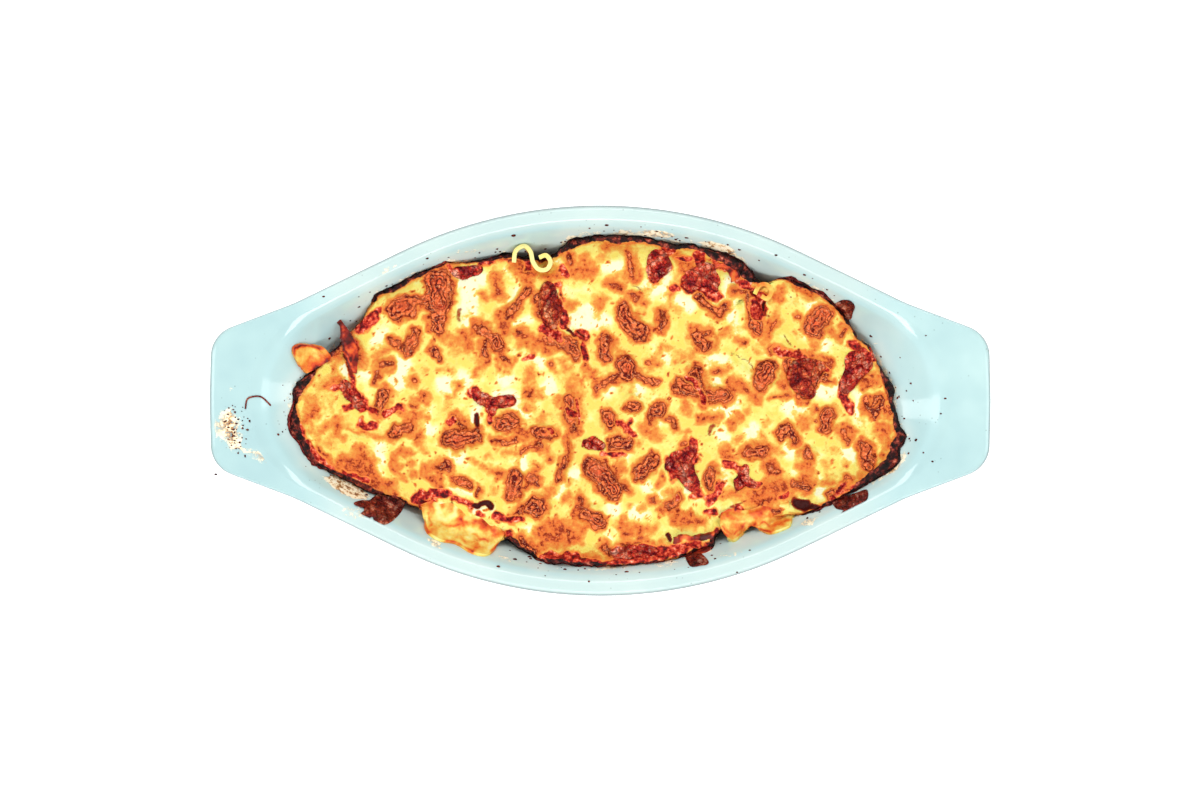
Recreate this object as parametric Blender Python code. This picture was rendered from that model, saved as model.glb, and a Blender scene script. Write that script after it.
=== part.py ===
"""Baked lasagna in its own oval stoneware dish.

The dish is a deep oval bowl with a narrow rim that widens into a grip at each end. The
lasagna fills it to a burnt edge on the wall: a solid filling, a browned cheese crust on top,
sauce that shows through gaps in the cheese, pasta sheets that curl out at the edge, and
burnt drips on the wall. X runs along the dish, Z is up, and the origin is under the middle.
Lengths are in millimetres and become metres when a mesh is finished.
"""

import math

import bmesh
import bpy
import numpy as np

MM = 0.001

# ------------------------------------------------------------------ driving dimensions, mm
LENGTH = 360.0
WIDTH = 180.0
HEIGHT = 56.0
RIM_WIDTH = 4.6
RIM_THICKNESS = 6.0
SIDE_SLOPE = 0.485         # how fast the long sides close in towards the ends
GRIP_SLOPE = 0.375         # the same along the sides of the end grips
MOUTH_LENGTH = 328.4
FLOOR_LENGTH = 196.0
FLOOR_WIDTH = 108.0
FLOOR_THICKNESS = 6.5
WALL_SHIFT = 4.0           # the outer wall is the inner one moved this far down and out

WALL_GAP = 1.0             # food to dish
PIECE_CLEAR = 1.6          # underside of what lies in the cheese to dish
DRIP_GAP = 1.3             # drips to dish, above its slope
PIECE_GAP = 0.4            # food to food
CRUST_GAP = 1.0            # cheese to the burnt edge round it

FILLING_BOTTOM = FLOOR_THICKNESS + WALL_GAP + 0.6
FILLING_TOP = 37.0         # flat top of the filling under the cheese
CHEESE_LEVEL = 42.0
CHEESE_LOW = 38.8
CHEESE_HIGH = 47.5
EDGE_LOW = 40.0            # lowest and highest place of the burnt edge on the wall
EDGE_HIGH = 49.5
DRIP_HIGH = 53.2           # drips stay under the dish's lip
BURNT_WIDTH = 4.4          # burnt edge that the cheese leaves bare
PASTA_THICKNESS = 2.0

PIECE_BOTTOM = FILLING_TOP + 0.6
WELL_BOTTOM = FILLING_TOP + 0.2
WELL_TOP = HEIGHT + 12.0

SIDE_POINTS = 8            # points on each straight line of an outline
DISH_STEPS = 64
FILLING_STEPS = 120
CHEESE_CELLS = (50, 27)
BLOB_STEPS = 14
RUFFLE_STEPS = 22
SHEET_STEPS = (12, 4)

# Inner wall from the mouth to the floor: share of the way in, height.
WALL_PROFILE = (
    (0.0, 55.4), (0.05, 55.1), (0.13, 53.4), (0.20, 50.6), (0.33, 43.0),
    (0.48, 33.6), (0.66, 22.6), (0.84, 12.4), (0.94, 8.2), (1.0, 6.8),
)

# Where the lasagna ends, going round from the upper left, seen from above.
FOOD_EDGE = (
    (-107, 45), (-103, 51), (-95, 57.5), (-85, 62.5), (-73, 64.5), (-63, 64.5), (-52, 66.5),
    (-44, 69.5), (-36, 67.5), (-28, 66), (-22, 69), (-15, 74), (-5, 76.5), (5, 78),
    (15, 77.5), (24, 75.5), (33, 73), (41, 73.5), (50, 70.5), (60, 68), (67, 64),
    (72, 57.5), (76, 54.5), (84, 57.5), (91, 57.5), (98, 54), (106, 48), (112, 42),
    (118, 34), (120, 29), (126, 26), (129, 20), (133, 12), (137, 5), (136.5, 0),
    (138, -8), (142, -16), (140, -22), (138, -29), (136, -34), (130, -39), (122, -45),
    (113, -50.5), (103, -50.5), (95, -53), (87, -54), (78, -55), (68, -57), (59, -59),
    (54, -64), (52, -69), (46, -70.5), (38, -72.5), (30, -75.5), (20, -77), (8, -78),
    (-4, -78), (-12, -77.5), (-18, -76), (-24, -77), (-30, -74), (-37, -69), (-44, -65.5),
    (-52, -66), (-60, -65), (-68, -61), (-76, -57), (-84, -51), (-93, -47), (-106, -43.5),
    (-117, -38), (-127, -32.5), (-134, -30), (-138.5, -23), (-143, -16), (-145, -9),
    (-143.5, -2), (-142.5, 5), (-138, 11), (-131, 18), (-126, 23), (-120, 29), (-113, 36),
)

# Browned blisters of the cheese: x, y, length, width, turn in degrees, height.
BLISTERS = (
    (-74.5, 50, 24, 13, 90, 1.6), (-90, 43, 20, 11, 8, 1.4), (-88, 27, 13, 7, 70, 1.0),
    (-99, 17, 10, 6, 0, 0.9), (-38, 45, 17, 7, 42, 1.2), (-53, 28, 14, 12, 0, 1.1),
    (-40, 27, 12, 8, 10, 1.0), (15, 36, 18, 9, 125, 1.5), (28, 39, 12, 5, 80, 0.9),
    (51, 44, 16, 5, -25, 1.0), (13, 66, 16, 8, 90, 0.8), (50, 28, 9, 8, 0, 1.2),
    (70, 43, 19, 8, 106, 1.4), (3, 25, 12, 7, 85, 1.2), (11, 14, 15, 13, 0, 1.5),
    (15, -1.5, 9, 9, 0, 1.4), (26, -5, 9, 7, 60, 1.2), (42, 9, 19, 10, 130, 1.7),
    (53, 3, 17, 8, -8, 1.6), (5, -10, 10, 9, 0, 1.1), (77, 13, 12, 12, 0, 1.8),
    (102, 37, 13, 10, 20, 1.5), (105, -9, 12, 7, 100, 1.3), (127, -3, 10, 9, 0, 1.2),
    (87, -15, 11, 9, -30, 1.4), (123, -26, 14, 9, 80, 1.5), (96, -25, 10, 8, 60, 1.1),
    (72, -24, 12, 8, 20, 1.1), (-14, -5, 20, 6, 96, 1.1), (-17, -28, 22, 5, 80, 1.1),
    (-64, -18, 18, 10, 5, 1.8), (-43, -11, 13, 9, 10, 1.5), (-26, -15, 12, 7, -20, 1.1),
    (-102, -1, 12, 6, 100, 1.2), (-93, -14, 10, 7, 0, 1.3), (-64, -38, 8, 6, 0, 1.2),
    (-38, -39, 15, 9, 70, 1.5), (-28, -49, 14, 11, 40, 1.1), (1, -36, 19, 10, -50, 1.7),
    (-5, -53, 11, 9, 0, 1.4), (21, -31, 14, 9, 45, 1.6), (40, -55, 12, 7, 0, 1.0),
    (52, -35, 10, 6, 90, 1.0), (33, -47, 12, 7, 20, 1.0), (94, -39, 9, 5, 0, 0.9),
    (-115, -28, 16, 12, -30, 1.0),
)

# Folds and raised welts of the surface: start, end, half-width, height.
FOLDS = (
    ((-120, 33), (-115, 8), 3.0, 1.6), ((-124, 20), (-112, -14), 2.5, -1.3),
    ((-120, -14), (-100, -16), 2.5, -1.4), ((-95, -20), (-92, -34), 3.0, -1.2),
    ((61, 22), (72, 14), 2.5, -1.5), ((82, 34), (93, 22), 3.0, -2.0),
    ((-22, 55), (-18, 28), 6.0, 2.6), ((-16, 30), (-6, 14), 4.0, 1.6),
    ((-9, 12), (-12, -40), 4.0, -1.2), ((34, 52), (66, 40), 4.0, 1.0),
    ((-80, -46), (-60, -44), 3.5, 1.2), ((55, -40), (90, -42), 4.0, 1.4),
    ((96, 20), (104, -4), 6.0, 1.2), ((-66, -14), (-40, -16), 7.0, 1.5),
)


class Piece:
    """Sauce or a drip, seen from above: middle, size, turn and the lobes of its outline."""

    def __init__(self, name, middle, size, turn=0.0, rise=0.8, lobes=()):
        self.name = name
        self.middle = middle
        self.size = size
        self.turn = math.radians(turn)
        self.rise = rise
        self.lobes = lobes      # direction in degrees, extra length


SAUCES = (
    Piece("sauce_top_left", (-62, 60), (15, 7), 8, 0.4),
    Piece("sauce_top_middle", (27, 63), (12, 13), 0, 1.0, ((80, 2.5), (250, 1.5))),
    Piece("tomato_top_right", (47.6, 56.7), (17, 12), -10, 1.6, ((60, 2.2), (200, 2))),
    Piece("sauce_right", (120, 17), (14, 13), 20, 1.2, ((240, 9), (60, 3))),
    Piece("meat_right", (94, 12), (17, 15), 60, 2.0, ((20, 3), (290, 4))),
    Piece("meat_ridge", (-23, 43), (21, 10), 96, 1.8, ((100, 2),)),
    Piece("sauce_middle_left", (-50, -1), (14, 6), -5, 0.6, ((10, 5), (150, 4), (270, 3))),
    Piece("sauce_middle", (-3, -20), (11, 6), -12, 0.4),
    Piece("sauce_lower_right", (38, -30), (15, 11), -60, 0.8, ((60, 5), (-60, 7), (190, 3))),
    Piece("sauce_lower_far", (66, -36), (13, 6), 70, 0.6, ((-30, 4),)),
    Piece("sauce_left", (-114, 1), (15, 6), -50, 0.5, ((120, 4),)),
    Piece("sauce_bottom", (15, -70), (24, 6), 2, 0.6),
)

DRIPS = (
    Piece("drip_lower_left", (-102.5, -50.5), (19, 10), 10, 2.8, ((250, 2), (200, 2.5))),
    Piece("drip_bottom", (45.5, -74.3), (8, 4.6), -10, 1.7),
    Piece("drip_lower_right", (115.7, -47.2), (11, 9), 50, 1.2),
    Piece("burnt_bubble", (113.6, 43.8), (8, 6), 40, 3.0),
)

# Ruffled edges of pasta that stand up out of the food: the line of the edge from above.
RUFFLES = (
    ("pasta_curl_top", (
        (-40.0, 64.0), (-39.4, 69.0), (-35.6, 71.4), (-32.6, 68.6), (-31.4, 64.2),
        (-28.6, 60.8), (-24.6, 61.0), (-22.8, 64.4), (-24.8, 67.6), (-28.0, 66.6)), 45.5),
    ("pasta_curl_right", (
        (71.6, 49.4), (73.4, 53.0), (77.0, 53.4), (79.4, 50.6), (77.6, 47.6), (75.0, 48.8)), 44.5),
)

# Pasta sheets that lie at the edge: outer border, inner border, heights of the two borders,
# number of waves along the sheet and their height.
SHEETS = (
    ("pasta_sheet_lower_left",
     ((-82.5, -55), (-79.5, -60.5), (-73.5, -64), (-66.5, -65.5), (-59, -69.5), (-51.5, -70.5),
      (-46, -65.5)),
     ((-83, -48), (-76, -46), (-68, -48), (-62, -52), (-56, -54), (-49, -58), (-44, -61)),
     (42.0, 43.5), 3, 1.3),
    ("pasta_sheet_lower_right",
     ((55, -59.5), (61, -64.5), (66, -61.5), (70, -58.3), (74, -59.6), (79, -60.8), (90, -56.5)),
     ((56, -52), (61, -50), (66, -51), (71, -50), (76, -48), (82, -46), (87, -46)),
     (42.0, 44.0), 2, 1.5),
    ("pasta_fold_bottom",
     ((33, -70.5), (38, -71), (43, -70), (48, -69.4), (52, -67.5)),
     ((34, -64), (38, -62.5), (43, -63), (48, -62.5), (53, -61.5)),
     (42.0, 44.5), 1, 1.0),
    ("pasta_arch_top",
     ((52, 65.5), (56, 66), (60, 64.5), (63.5, 61), (65.5, 57)),
     ((53, 61.5), (56, 62), (58.5, 61), (60.5, 58.5), (61.5, 55)),
     (45.0, 46.6), 1, 0.6),
    ("pasta_corner_left",
     ((-129.5, 24.0), (-134, 25.4), (-138, 25.6), (-141, 24), (-141.4, 20)),
     ((-127.5, 19.6), (-130, 18.6), (-132.5, 17.4), (-135, 16), (-137.5, 14.6)),
     (44.0, 42.0), 0, 0.0),
    ("pasta_flap_left",
     ((-121, 33.5), (-120.2, 27), (-118.8, 20), (-117.4, 13)),
     ((-115, 34.5), (-113.4, 28), (-112.2, 20), (-112.6, 13)),
     (43.6, 43.0), 1, 0.5),
)

CREAM = (0.93, 0.66, 0.22)
COLOURS = {
    "dish": ((0.66, 0.86, 0.86), 0.12),
    "filling": ((0.20, 0.035, 0.015), 0.6),
    "cheese": ((0.94, 0.70, 0.20), 0.35),
    "sauce": ((0.34, 0.035, 0.012), 0.35),
    "meat": ((0.30, 0.06, 0.03), 0.45),
    "pasta": (CREAM, 0.4),
    "burnt": ((0.07, 0.02, 0.012), 0.5),
}


# ------------------------------------------------------------------ outlines and heights
def rounded_outline(quarter, arc_steps=16):
    """Closed outline from one quarter's corners (x, y, fillet radius), first on +X, last on +Y."""
    left = [(-x, y, r) for x, y, r in reversed(quarter[:-1])]
    upper = list(quarter) + left
    lower = [(x, -y, r) for x, y, r in reversed(upper[1:-1])]
    corners = upper + lower
    points = []
    for index, (x, y, radius) in enumerate(corners):
        corner = np.array((x, y))
        before = np.array(corners[index - 1][:2]) - corner
        after = np.array(corners[(index + 1) % len(corners)][:2]) - corner
        before /= np.linalg.norm(before)
        after /= np.linalg.norm(after)
        half = 0.5 * math.acos(float(np.clip(before @ after, -1.0, 1.0)))
        reach = radius / math.tan(half)
        middle = (before + after) / np.linalg.norm(before + after) * radius / math.sin(half)
        start = before * reach - middle
        finish = after * reach - middle
        turn = math.atan2(start[0] * finish[1] - start[1] * finish[0], float(start @ finish))
        for step in range(arc_steps + 1):
            angle = turn * step / arc_steps
            cos, sin = math.cos(angle), math.sin(angle)
            arm = (start[0] * cos - start[1] * sin, start[0] * sin + start[1] * cos)
            points.append(corner + middle + arm)
    return np.array(points)


def polar(points):
    """Outline as angles and distances from the middle, in rising order of angle.

    The straight lines between the points get points of their own, so that they stay straight.
    """
    shares = np.linspace(0.0, 1.0, SIDE_POINTS, endpoint=False)[:, None, None]
    points = (points + (np.roll(points, -1, axis=0) - points) * shares).reshape(-1, 2)
    angles = np.arctan2(points[:, 1], points[:, 0])
    order = np.argsort(angles)
    return angles[order], np.hypot(points[:, 0], points[:, 1])[order]


def rim_outline():
    top = WIDTH / 2 + 23.4
    flare = (141.2, top - SIDE_SLOPE * 141.2)
    corner_x = LENGTH / 2 - 0.6
    corner = (corner_x, flare[1] - GRIP_SLOPE * (corner_x - flare[0]))
    return polar(rounded_outline((
        (LENGTH / 2 + 0.2, 0.0, 360.0), (*corner, 14.5), (*flare, 93.0), (0.0, top, 209.4))))


def mouth_outline():
    tip_radius = 45.0
    side = math.atan(SIDE_SLOPE)
    tip = MOUTH_LENGTH / 2 + tip_radius * (1 / math.sin(side) - 1)
    return polar(rounded_outline(((tip, 0.0, tip_radius), (0.0, SIDE_SLOPE * tip, 204.0))))


RIM = rim_outline()
MOUTH = mouth_outline()
EDGE = polar(np.array(FOOD_EDGE, dtype=float))


def distance_to(outline, angle):
    return np.interp(angle, *outline, period=2 * math.pi)


def floor_distance(angle):
    """Floor as a slightly squared oval."""
    power = 2.5
    across = np.abs(np.cos(angle) / (FLOOR_LENGTH / 2)) ** power
    along = np.abs(np.sin(angle) / (FLOOR_WIDTH / 2)) ** power
    return (across + along) ** (-1 / power)


WALL_SHARE = np.array([share for share, _ in WALL_PROFILE])
WALL_HEIGHT = np.array([height for _, height in WALL_PROFILE])


def wall_distance(angle, height):
    """Distance from the middle to the inner wall, at a height."""
    share = np.interp(height, WALL_HEIGHT[::-1], WALL_SHARE[::-1])
    mouth = distance_to(MOUTH, angle)
    return mouth + (floor_distance(angle) - mouth) * share


def wall_height(x, y):
    """Height of the inner wall under a place seen from above."""
    angle = np.arctan2(y, x)
    mouth = distance_to(MOUTH, angle)
    share = (mouth - np.hypot(x, y)) / (mouth - floor_distance(angle))
    return np.interp(share, WALL_SHARE, WALL_HEIGHT)


def food_distance(angle):
    """Distance from the middle to the burnt edge."""
    limit = wall_distance(angle, EDGE_HIGH) - WALL_GAP
    return np.minimum(distance_to(EDGE, angle), limit)


def edge_height(angle):
    """Height of the burnt edge: where the edge meets the wall, within its limits."""
    total = 0.0
    spread = np.radians((-6.0, -3.0, 0.0, 3.0, 6.0))
    for shift in spread:
        reach = food_distance(angle + shift) + WALL_GAP
        spot = wall_height(reach * np.cos(angle + shift), reach * np.sin(angle + shift))
        total = total + np.clip(spot, EDGE_LOW, EDGE_HIGH)
    return total / len(spread)


def crust_distance(angle):
    """Distance from the middle to the rim of the cheese, inside the burnt edge."""
    total = 0.0
    spread = np.radians((-3.0, -1.0, 1.0, 3.0))
    for shift in spread:
        total = total + food_distance(angle + shift)
    mean = total / len(spread)
    bare = BURNT_WIDTH + 0.9 * np.sin(7 * angle + 1.0) + 0.6 * np.sin(17 * angle)
    return np.minimum(mean, food_distance(angle)) - bare


def crust_foot(angle):
    """The same at the bottom of the cheese, where a sloping wall leaves less room."""
    return np.minimum(crust_distance(angle), wall_distance(angle, FILLING_TOP) - WALL_GAP - 1.8)


def oval_angle(turn):
    """Turns a circle's angle into the oval dish's, so that the steps stay even round the ends."""
    return np.arctan2(WIDTH * np.sin(turn), LENGTH * np.cos(turn))


def smooth_step(low, high, value):
    share = np.clip((value - low) / (high - low), 0.0, 1.0)
    return share * share * (3 - 2 * share)


def lattice(seed):
    return np.random.default_rng(seed).uniform(-1.0, 1.0, (64, 64))


LATTICE = lattice(11)


def waves(x, y, size):
    """Smooth uneven field between about -1 and 1 whose swells are about size apart."""
    gx, gy = np.asarray(x) / size, np.asarray(y) / size
    cell_x, cell_y = np.floor(gx).astype(int), np.floor(gy).astype(int)
    fx, fy = gx - cell_x, gy - cell_y
    fx, fy = fx * fx * (3 - 2 * fx), fy * fy * (3 - 2 * fy)
    corner = [[LATTICE[(cell_x + i) % 64, (cell_y + j) % 64] for j in (0, 1)] for i in (0, 1)]
    low = corner[0][0] * (1 - fx) + corner[1][0] * fx
    high = corner[0][1] * (1 - fx) + corner[1][1] * fx
    return low * (1 - fy) + high * fy


def blister_cover(x, y, blister):
    """1 on a blister, falling to 0 at its uneven border."""
    bx, by, length, width, turn, _ = blister
    cos, sin = math.cos(math.radians(turn)), math.sin(math.radians(turn))
    along = ((x - bx) * cos + (y - by) * sin) / (length / 2)
    across = (-(x - bx) * sin + (y - by) * cos) / (width / 2)
    far = np.hypot(along, across) + 0.22 * waves(x + 40, y - 90, 5.0)
    return 1.0 - smooth_step(0.70, 1.15, far)


def line_distance(x, y, start, finish):
    ax, ay = start
    dx, dy = finish[0] - ax, finish[1] - ay
    share = np.clip(((x - ax) * dx + (y - ay) * dy) / (dx * dx + dy * dy), 0.0, 1.0)
    return np.hypot(x - ax - share * dx, y - ay - share * dy)


def food_height(x, y):
    """Height of the top of the lasagna: broad swells, folds and blisters, rising at the edge."""
    height = CHEESE_LEVEL + 1.5 * waves(x, y, 34.0) + 0.7 * waves(x - 50, y + 20, 13.0)
    for start, finish, half_width, rise in FOLDS:
        height = height + rise * np.exp(-((line_distance(x, y, start, finish) / half_width) ** 2))
    for blister in BLISTERS:
        height = height + blister[5] * blister_cover(x, y, blister)
    angle = np.arctan2(y, x)
    share = np.hypot(x, y) / food_distance(angle)
    edge = smooth_step(0.84, 1.0, share)
    height = height + (edge_height(angle) - 0.6 - height) * edge
    return np.clip(height, CHEESE_LOW, CHEESE_HIGH)


# ------------------------------------------------------------------ mesh helpers
def material(name):
    colour, roughness = COLOURS[name]
    made = bpy.data.materials.get(name) or bpy.data.materials.new(name)
    made.use_nodes = True
    shader = made.node_tree.nodes["Principled BSDF"]
    shader.inputs["Base Color"].default_value = (*colour, 1.0)
    shader.inputs["Roughness"].default_value = roughness
    shader.inputs["Metallic"].default_value = 0.0
    return made


def finish_mesh(name, mesh, look):
    """Closes the bmesh into an object in metres, faces out."""
    bmesh.ops.remove_doubles(mesh, verts=mesh.verts, dist=1e-4)
    bmesh.ops.recalc_face_normals(mesh, faces=mesh.faces)
    bmesh.ops.triangulate(mesh, faces=mesh.faces)
    bmesh.ops.scale(mesh, vec=(MM, MM, MM), verts=mesh.verts)
    data = bpy.data.meshes.new(name)
    mesh.to_mesh(data)
    mesh.free()
    data.materials.append(material(look))
    data.shade_smooth()
    data.set_sharp_from_angle(angle=math.radians(40))
    made = bpy.data.objects.new(name, data)
    bpy.context.scene.collection.objects.link(made)
    return made


def turned(rings, steps):
    """Closed body from rings: rings[0] and rings[-1] are its lower and upper middle.

    A ring is a function of the angle round the circle that gives x, y and z.
    """
    turns = np.linspace(0.0, 2 * math.pi, steps, endpoint=False)
    mesh = bmesh.new()
    levels = []
    for ring in rings[1:-1]:
        x, y, z = np.broadcast_arrays(*ring(turns))
        levels.append([mesh.verts.new(spot) for spot in zip(x, y, z)])
    for lower, upper in zip(levels, levels[1:]):
        for step in range(steps):
            after = (step + 1) % steps
            mesh.faces.new((lower[step], lower[after], upper[after], upper[step]))
    for level, spot in ((levels[0][::-1], rings[0]), (levels[-1], rings[-1])):
        pole = mesh.verts.new(spot)
        for step in range(steps):
            mesh.faces.new((level[step], level[(step + 1) % steps], pole))
    return mesh


def oval_ring(distance, height):
    """Ring of the oval dish: distance and height may be numbers or functions of the angle."""
    def ring(turns):
        angle = oval_angle(turns)
        reach = distance(angle)
        level = height(angle) if callable(height) else height
        return reach * np.cos(angle), reach * np.sin(angle), level
    return ring


def cut(target, cutters):
    """Cuts the joined cutters out of the target and removes them."""
    group = bpy.data.collections.new("cutters")
    bpy.context.scene.collection.children.link(group)
    for cutter in cutters:
        cutter.hide_render = True
        cutter.display_type = "WIRE"
        group.objects.link(cutter)
    change = target.modifiers.new("wells", "BOOLEAN")
    change.operation = "DIFFERENCE"
    change.solver = "EXACT"
    change.operand_type = "COLLECTION"
    change.collection = group
    bpy.context.view_layer.update()
    shape = target.evaluated_get(bpy.context.evaluated_depsgraph_get())
    data = bpy.data.meshes.new_from_object(shape)
    target.modifiers.clear()
    target.data = data
    bpy.data.collections.remove(group)
    drop_scraps(data)


def drop_scraps(data):
    """Keeps the largest body and removes scraps, also those that only touch it at an edge."""
    mesh = bmesh.new()
    mesh.from_mesh(data)
    waiting = set(mesh.faces)
    bodies = []
    while waiting:
        body = set()
        border = [waiting.pop()]
        while border:
            face = border.pop()
            body.add(face)
            near = {other for edge in face.edges if len(edge.link_faces) == 2
                    for other in edge.link_faces} & waiting
            waiting -= near
            border.extend(near)
        bodies.append(body)
    bodies.sort(key=len)
    scraps = [face for body in bodies[:-1] for face in body]
    bmesh.ops.delete(mesh, geom=scraps, context="FACES")
    bmesh.ops.triangulate(mesh, faces=mesh.faces)
    mesh.to_mesh(data)
    mesh.free()


# ------------------------------------------------------------------ dish
def rim_ring(inset, height):
    return oval_ring(lambda angle: distance_to(RIM, angle) - inset, height)


def outer_wall_ring(height):
    return oval_ring(
        lambda angle: wall_distance(angle, height + WALL_SHIFT) + WALL_SHIFT, height)


def inner_wall_ring(share, height):
    def distance(angle):
        mouth = distance_to(MOUTH, angle)
        return mouth + (floor_distance(angle) - mouth) * share
    return oval_ring(distance, height)


def make_dish():
    under = HEIGHT - RIM_THICKNESS
    rings = [(0.0, 0.0, 0.0)]
    rings.append(oval_ring(lambda angle: floor_distance(angle) + 0.5, 0.0))
    rings += [outer_wall_ring(height) for height in (2.2, 7.0, 15.0, 26.0, 37.0, 45.5)]
    rings.append(rim_ring(RIM_WIDTH * 0.6, under))
    rings += [rim_ring(inset, height) for inset, height in (
        (0.3, under + 1.5), (0.0, under + 3.2), (0.9, HEIGHT - 0.7), (2.6, HEIGHT))]
    rings += [inner_wall_ring(share, height) for share, height in WALL_PROFILE]
    rings.append((0.0, 0.0, FLOOR_THICKNESS))
    return finish_mesh("dish", turned(rings, DISH_STEPS), "dish")


# ------------------------------------------------------------------ filling and cheese
def filling_side_ring(share):
    """Ring of the filling's side: along the wall, but never outside the burnt edge."""
    def ring(turns):
        angle = oval_angle(turns)
        height = FILLING_BOTTOM + share * (edge_height(angle) - 1.0 - FILLING_BOTTOM)
        reach = np.minimum(wall_distance(angle, height) - WALL_GAP, food_distance(angle))
        return reach * np.cos(angle), reach * np.sin(angle), height
    return ring


def make_filling():
    """Body down to the floor; its top is flat under the cheese, with the burnt edge round it."""
    def crust(angle):
        return crust_distance(angle) + CRUST_GAP

    def foot(angle):
        return crust_foot(angle) + CRUST_GAP
    rings = [(0.0, 0.0, FILLING_BOTTOM)]
    rings += [filling_side_ring(share) for share in (0.0, 0.2, 0.5, 0.8, 1.0)]
    rings.append(oval_ring(lambda angle: food_distance(angle) - 1.4, edge_height))
    rings.append(oval_ring(crust, lambda angle: edge_height(angle) - 0.4))
    rings.append(oval_ring(foot, FILLING_TOP))
    rings.append((0.0, 0.0, FILLING_TOP))
    return finish_mesh("filling", turned(rings, FILLING_STEPS), "filling")


def disc_place(u, v):
    """Maps a square grid evenly onto the cheese's outline."""
    across = u * np.sqrt(1 - v * v / 2)
    along = v * np.sqrt(1 - u * u / 2)
    share = np.hypot(across, along)
    angle = oval_angle(np.arctan2(along, across))
    reach = share * crust_distance(angle)
    return reach * np.cos(angle), reach * np.sin(angle)


def make_cheese():
    mesh = bmesh.new()
    bmesh.ops.create_grid(mesh, x_segments=CHEESE_CELLS[0], y_segments=CHEESE_CELLS[1], size=1.0)
    verts = list(mesh.verts)
    flat = np.array([vert.co[:] for vert in verts])
    x, y = disc_place(flat[:, 0], flat[:, 1])
    for vert, spot in zip(verts, zip(x, y, food_height(x, y))):
        vert.co = spot
    for vert in [vert for vert in verts if len(vert.link_faces) == 1]:
        opposite = [other for other in vert.link_faces[0].verts
                    if not any(other in edge.verts for edge in vert.link_edges)]
        bmesh.ops.connect_verts(mesh, verts=[vert, *opposite])
    border = [edge for edge in mesh.edges if edge.is_boundary]
    skirt = bmesh.ops.extrude_edge_only(mesh, edges=border)["geom"]
    for vert in (item for item in skirt if isinstance(item, bmesh.types.BMVert)):
        angle = math.atan2(vert.co.y, vert.co.x)
        pull = float(crust_foot(angle) / crust_distance(angle))
        vert.co = (vert.co.x * pull, vert.co.y * pull, FILLING_TOP + PIECE_GAP)
    bottom = [item for item in skirt if isinstance(item, bmesh.types.BMEdge) and item.is_boundary]
    bmesh.ops.contextual_create(mesh, geom=bottom)
    return finish_mesh("cheese_crust", mesh, "cheese")


# ------------------------------------------------------------------ sauce and drips
def blob_place(piece, turns, share, grow=0.0):
    """Places on a piece's uneven outline, at a share of the way out from its middle."""
    half_length, half_width = piece.size[0] / 2 + grow, piece.size[1] / 2 + grow
    x, y = half_length * np.cos(turns), half_width * np.sin(turns)
    cos, sin = math.cos(piece.turn), math.sin(piece.turn)
    x, y = x * cos - y * sin, x * sin + y * cos
    angle = np.arctan2(y, x)
    reach = np.hypot(x, y) + 0.5 * np.sin(3 * angle + piece.middle[0])
    for direction, extra in piece.lobes:
        apart = np.angle(np.exp(1j * (angle - math.radians(direction))))
        reach = reach + extra * np.exp(-((apart / 0.42) ** 2))
    x, y = piece.middle[0] + reach * np.cos(angle), piece.middle[1] + reach * np.sin(angle)
    pull = np.minimum(1.0, wall_distance(np.arctan2(y, x), DRIP_HIGH) / np.hypot(x, y))
    x, y = x * pull, y * pull
    return (piece.middle[0] + share * (x - piece.middle[0]),
            piece.middle[1] + share * (y - piece.middle[1]))


def blob_body(piece, bottom, top, shares, grow=0.0, under=()):
    """Closed body over a piece's outline between two height functions of x and y.

    Shares are its upper rings, from the border in, and under its lower rings, outwards.
    """
    def ring(share, height, swell):
        def places(turns):
            x, y = blob_place(piece, turns, share, grow)
            return x, y, height(x, y) + swell
        return places
    rings = [(*piece.middle, float(bottom(*piece.middle)))]
    rings += [ring(share, bottom, 0.0) for share in (*under, 1.0)]
    rings += [ring(share, top, swell) for share, swell in shares]
    rings.append((*piece.middle, float(top(*piece.middle)) + piece.rise))
    return turned(rings, BLOB_STEPS)


def level(height):
    return lambda x, y: height + 0.0 * x


def piece_bottom(x, y):
    """Underside of what lies in the cheese: level, but clear of the dish's wall."""
    return np.maximum(PIECE_BOTTOM, wall_height(x, y) + PIECE_CLEAR)


def make_sauce(piece):
    def lumpy(x, y):
        return food_height(x, y) - 0.5 + 0.6 * waves(x, y, 4.0)
    look = "meat" if piece.name.startswith("meat") else "sauce"
    shares = ((1.0, -0.4), (0.7, piece.rise * 0.8))
    return finish_mesh(piece.name, blob_body(piece, piece_bottom, lumpy, shares), look)


def make_drip(piece):
    """A burnt drip on the wall, thin at its border."""
    def below(x, y):
        return np.maximum(wall_height(x, y), FILLING_TOP) + DRIP_GAP
    shares = ((1.0, 0.8), (0.72, piece.rise * 0.85))
    body = blob_body(piece, below, below, shares, under=(0.6,))
    return finish_mesh(piece.name, body, "burnt")


def blob_well(piece):
    shares = ((1.0, 0.0),)
    body = blob_body(piece, level(WELL_BOTTOM), level(WELL_TOP), shares, PIECE_GAP)
    return finish_mesh(piece.name + "_well", body, "filling")


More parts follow.
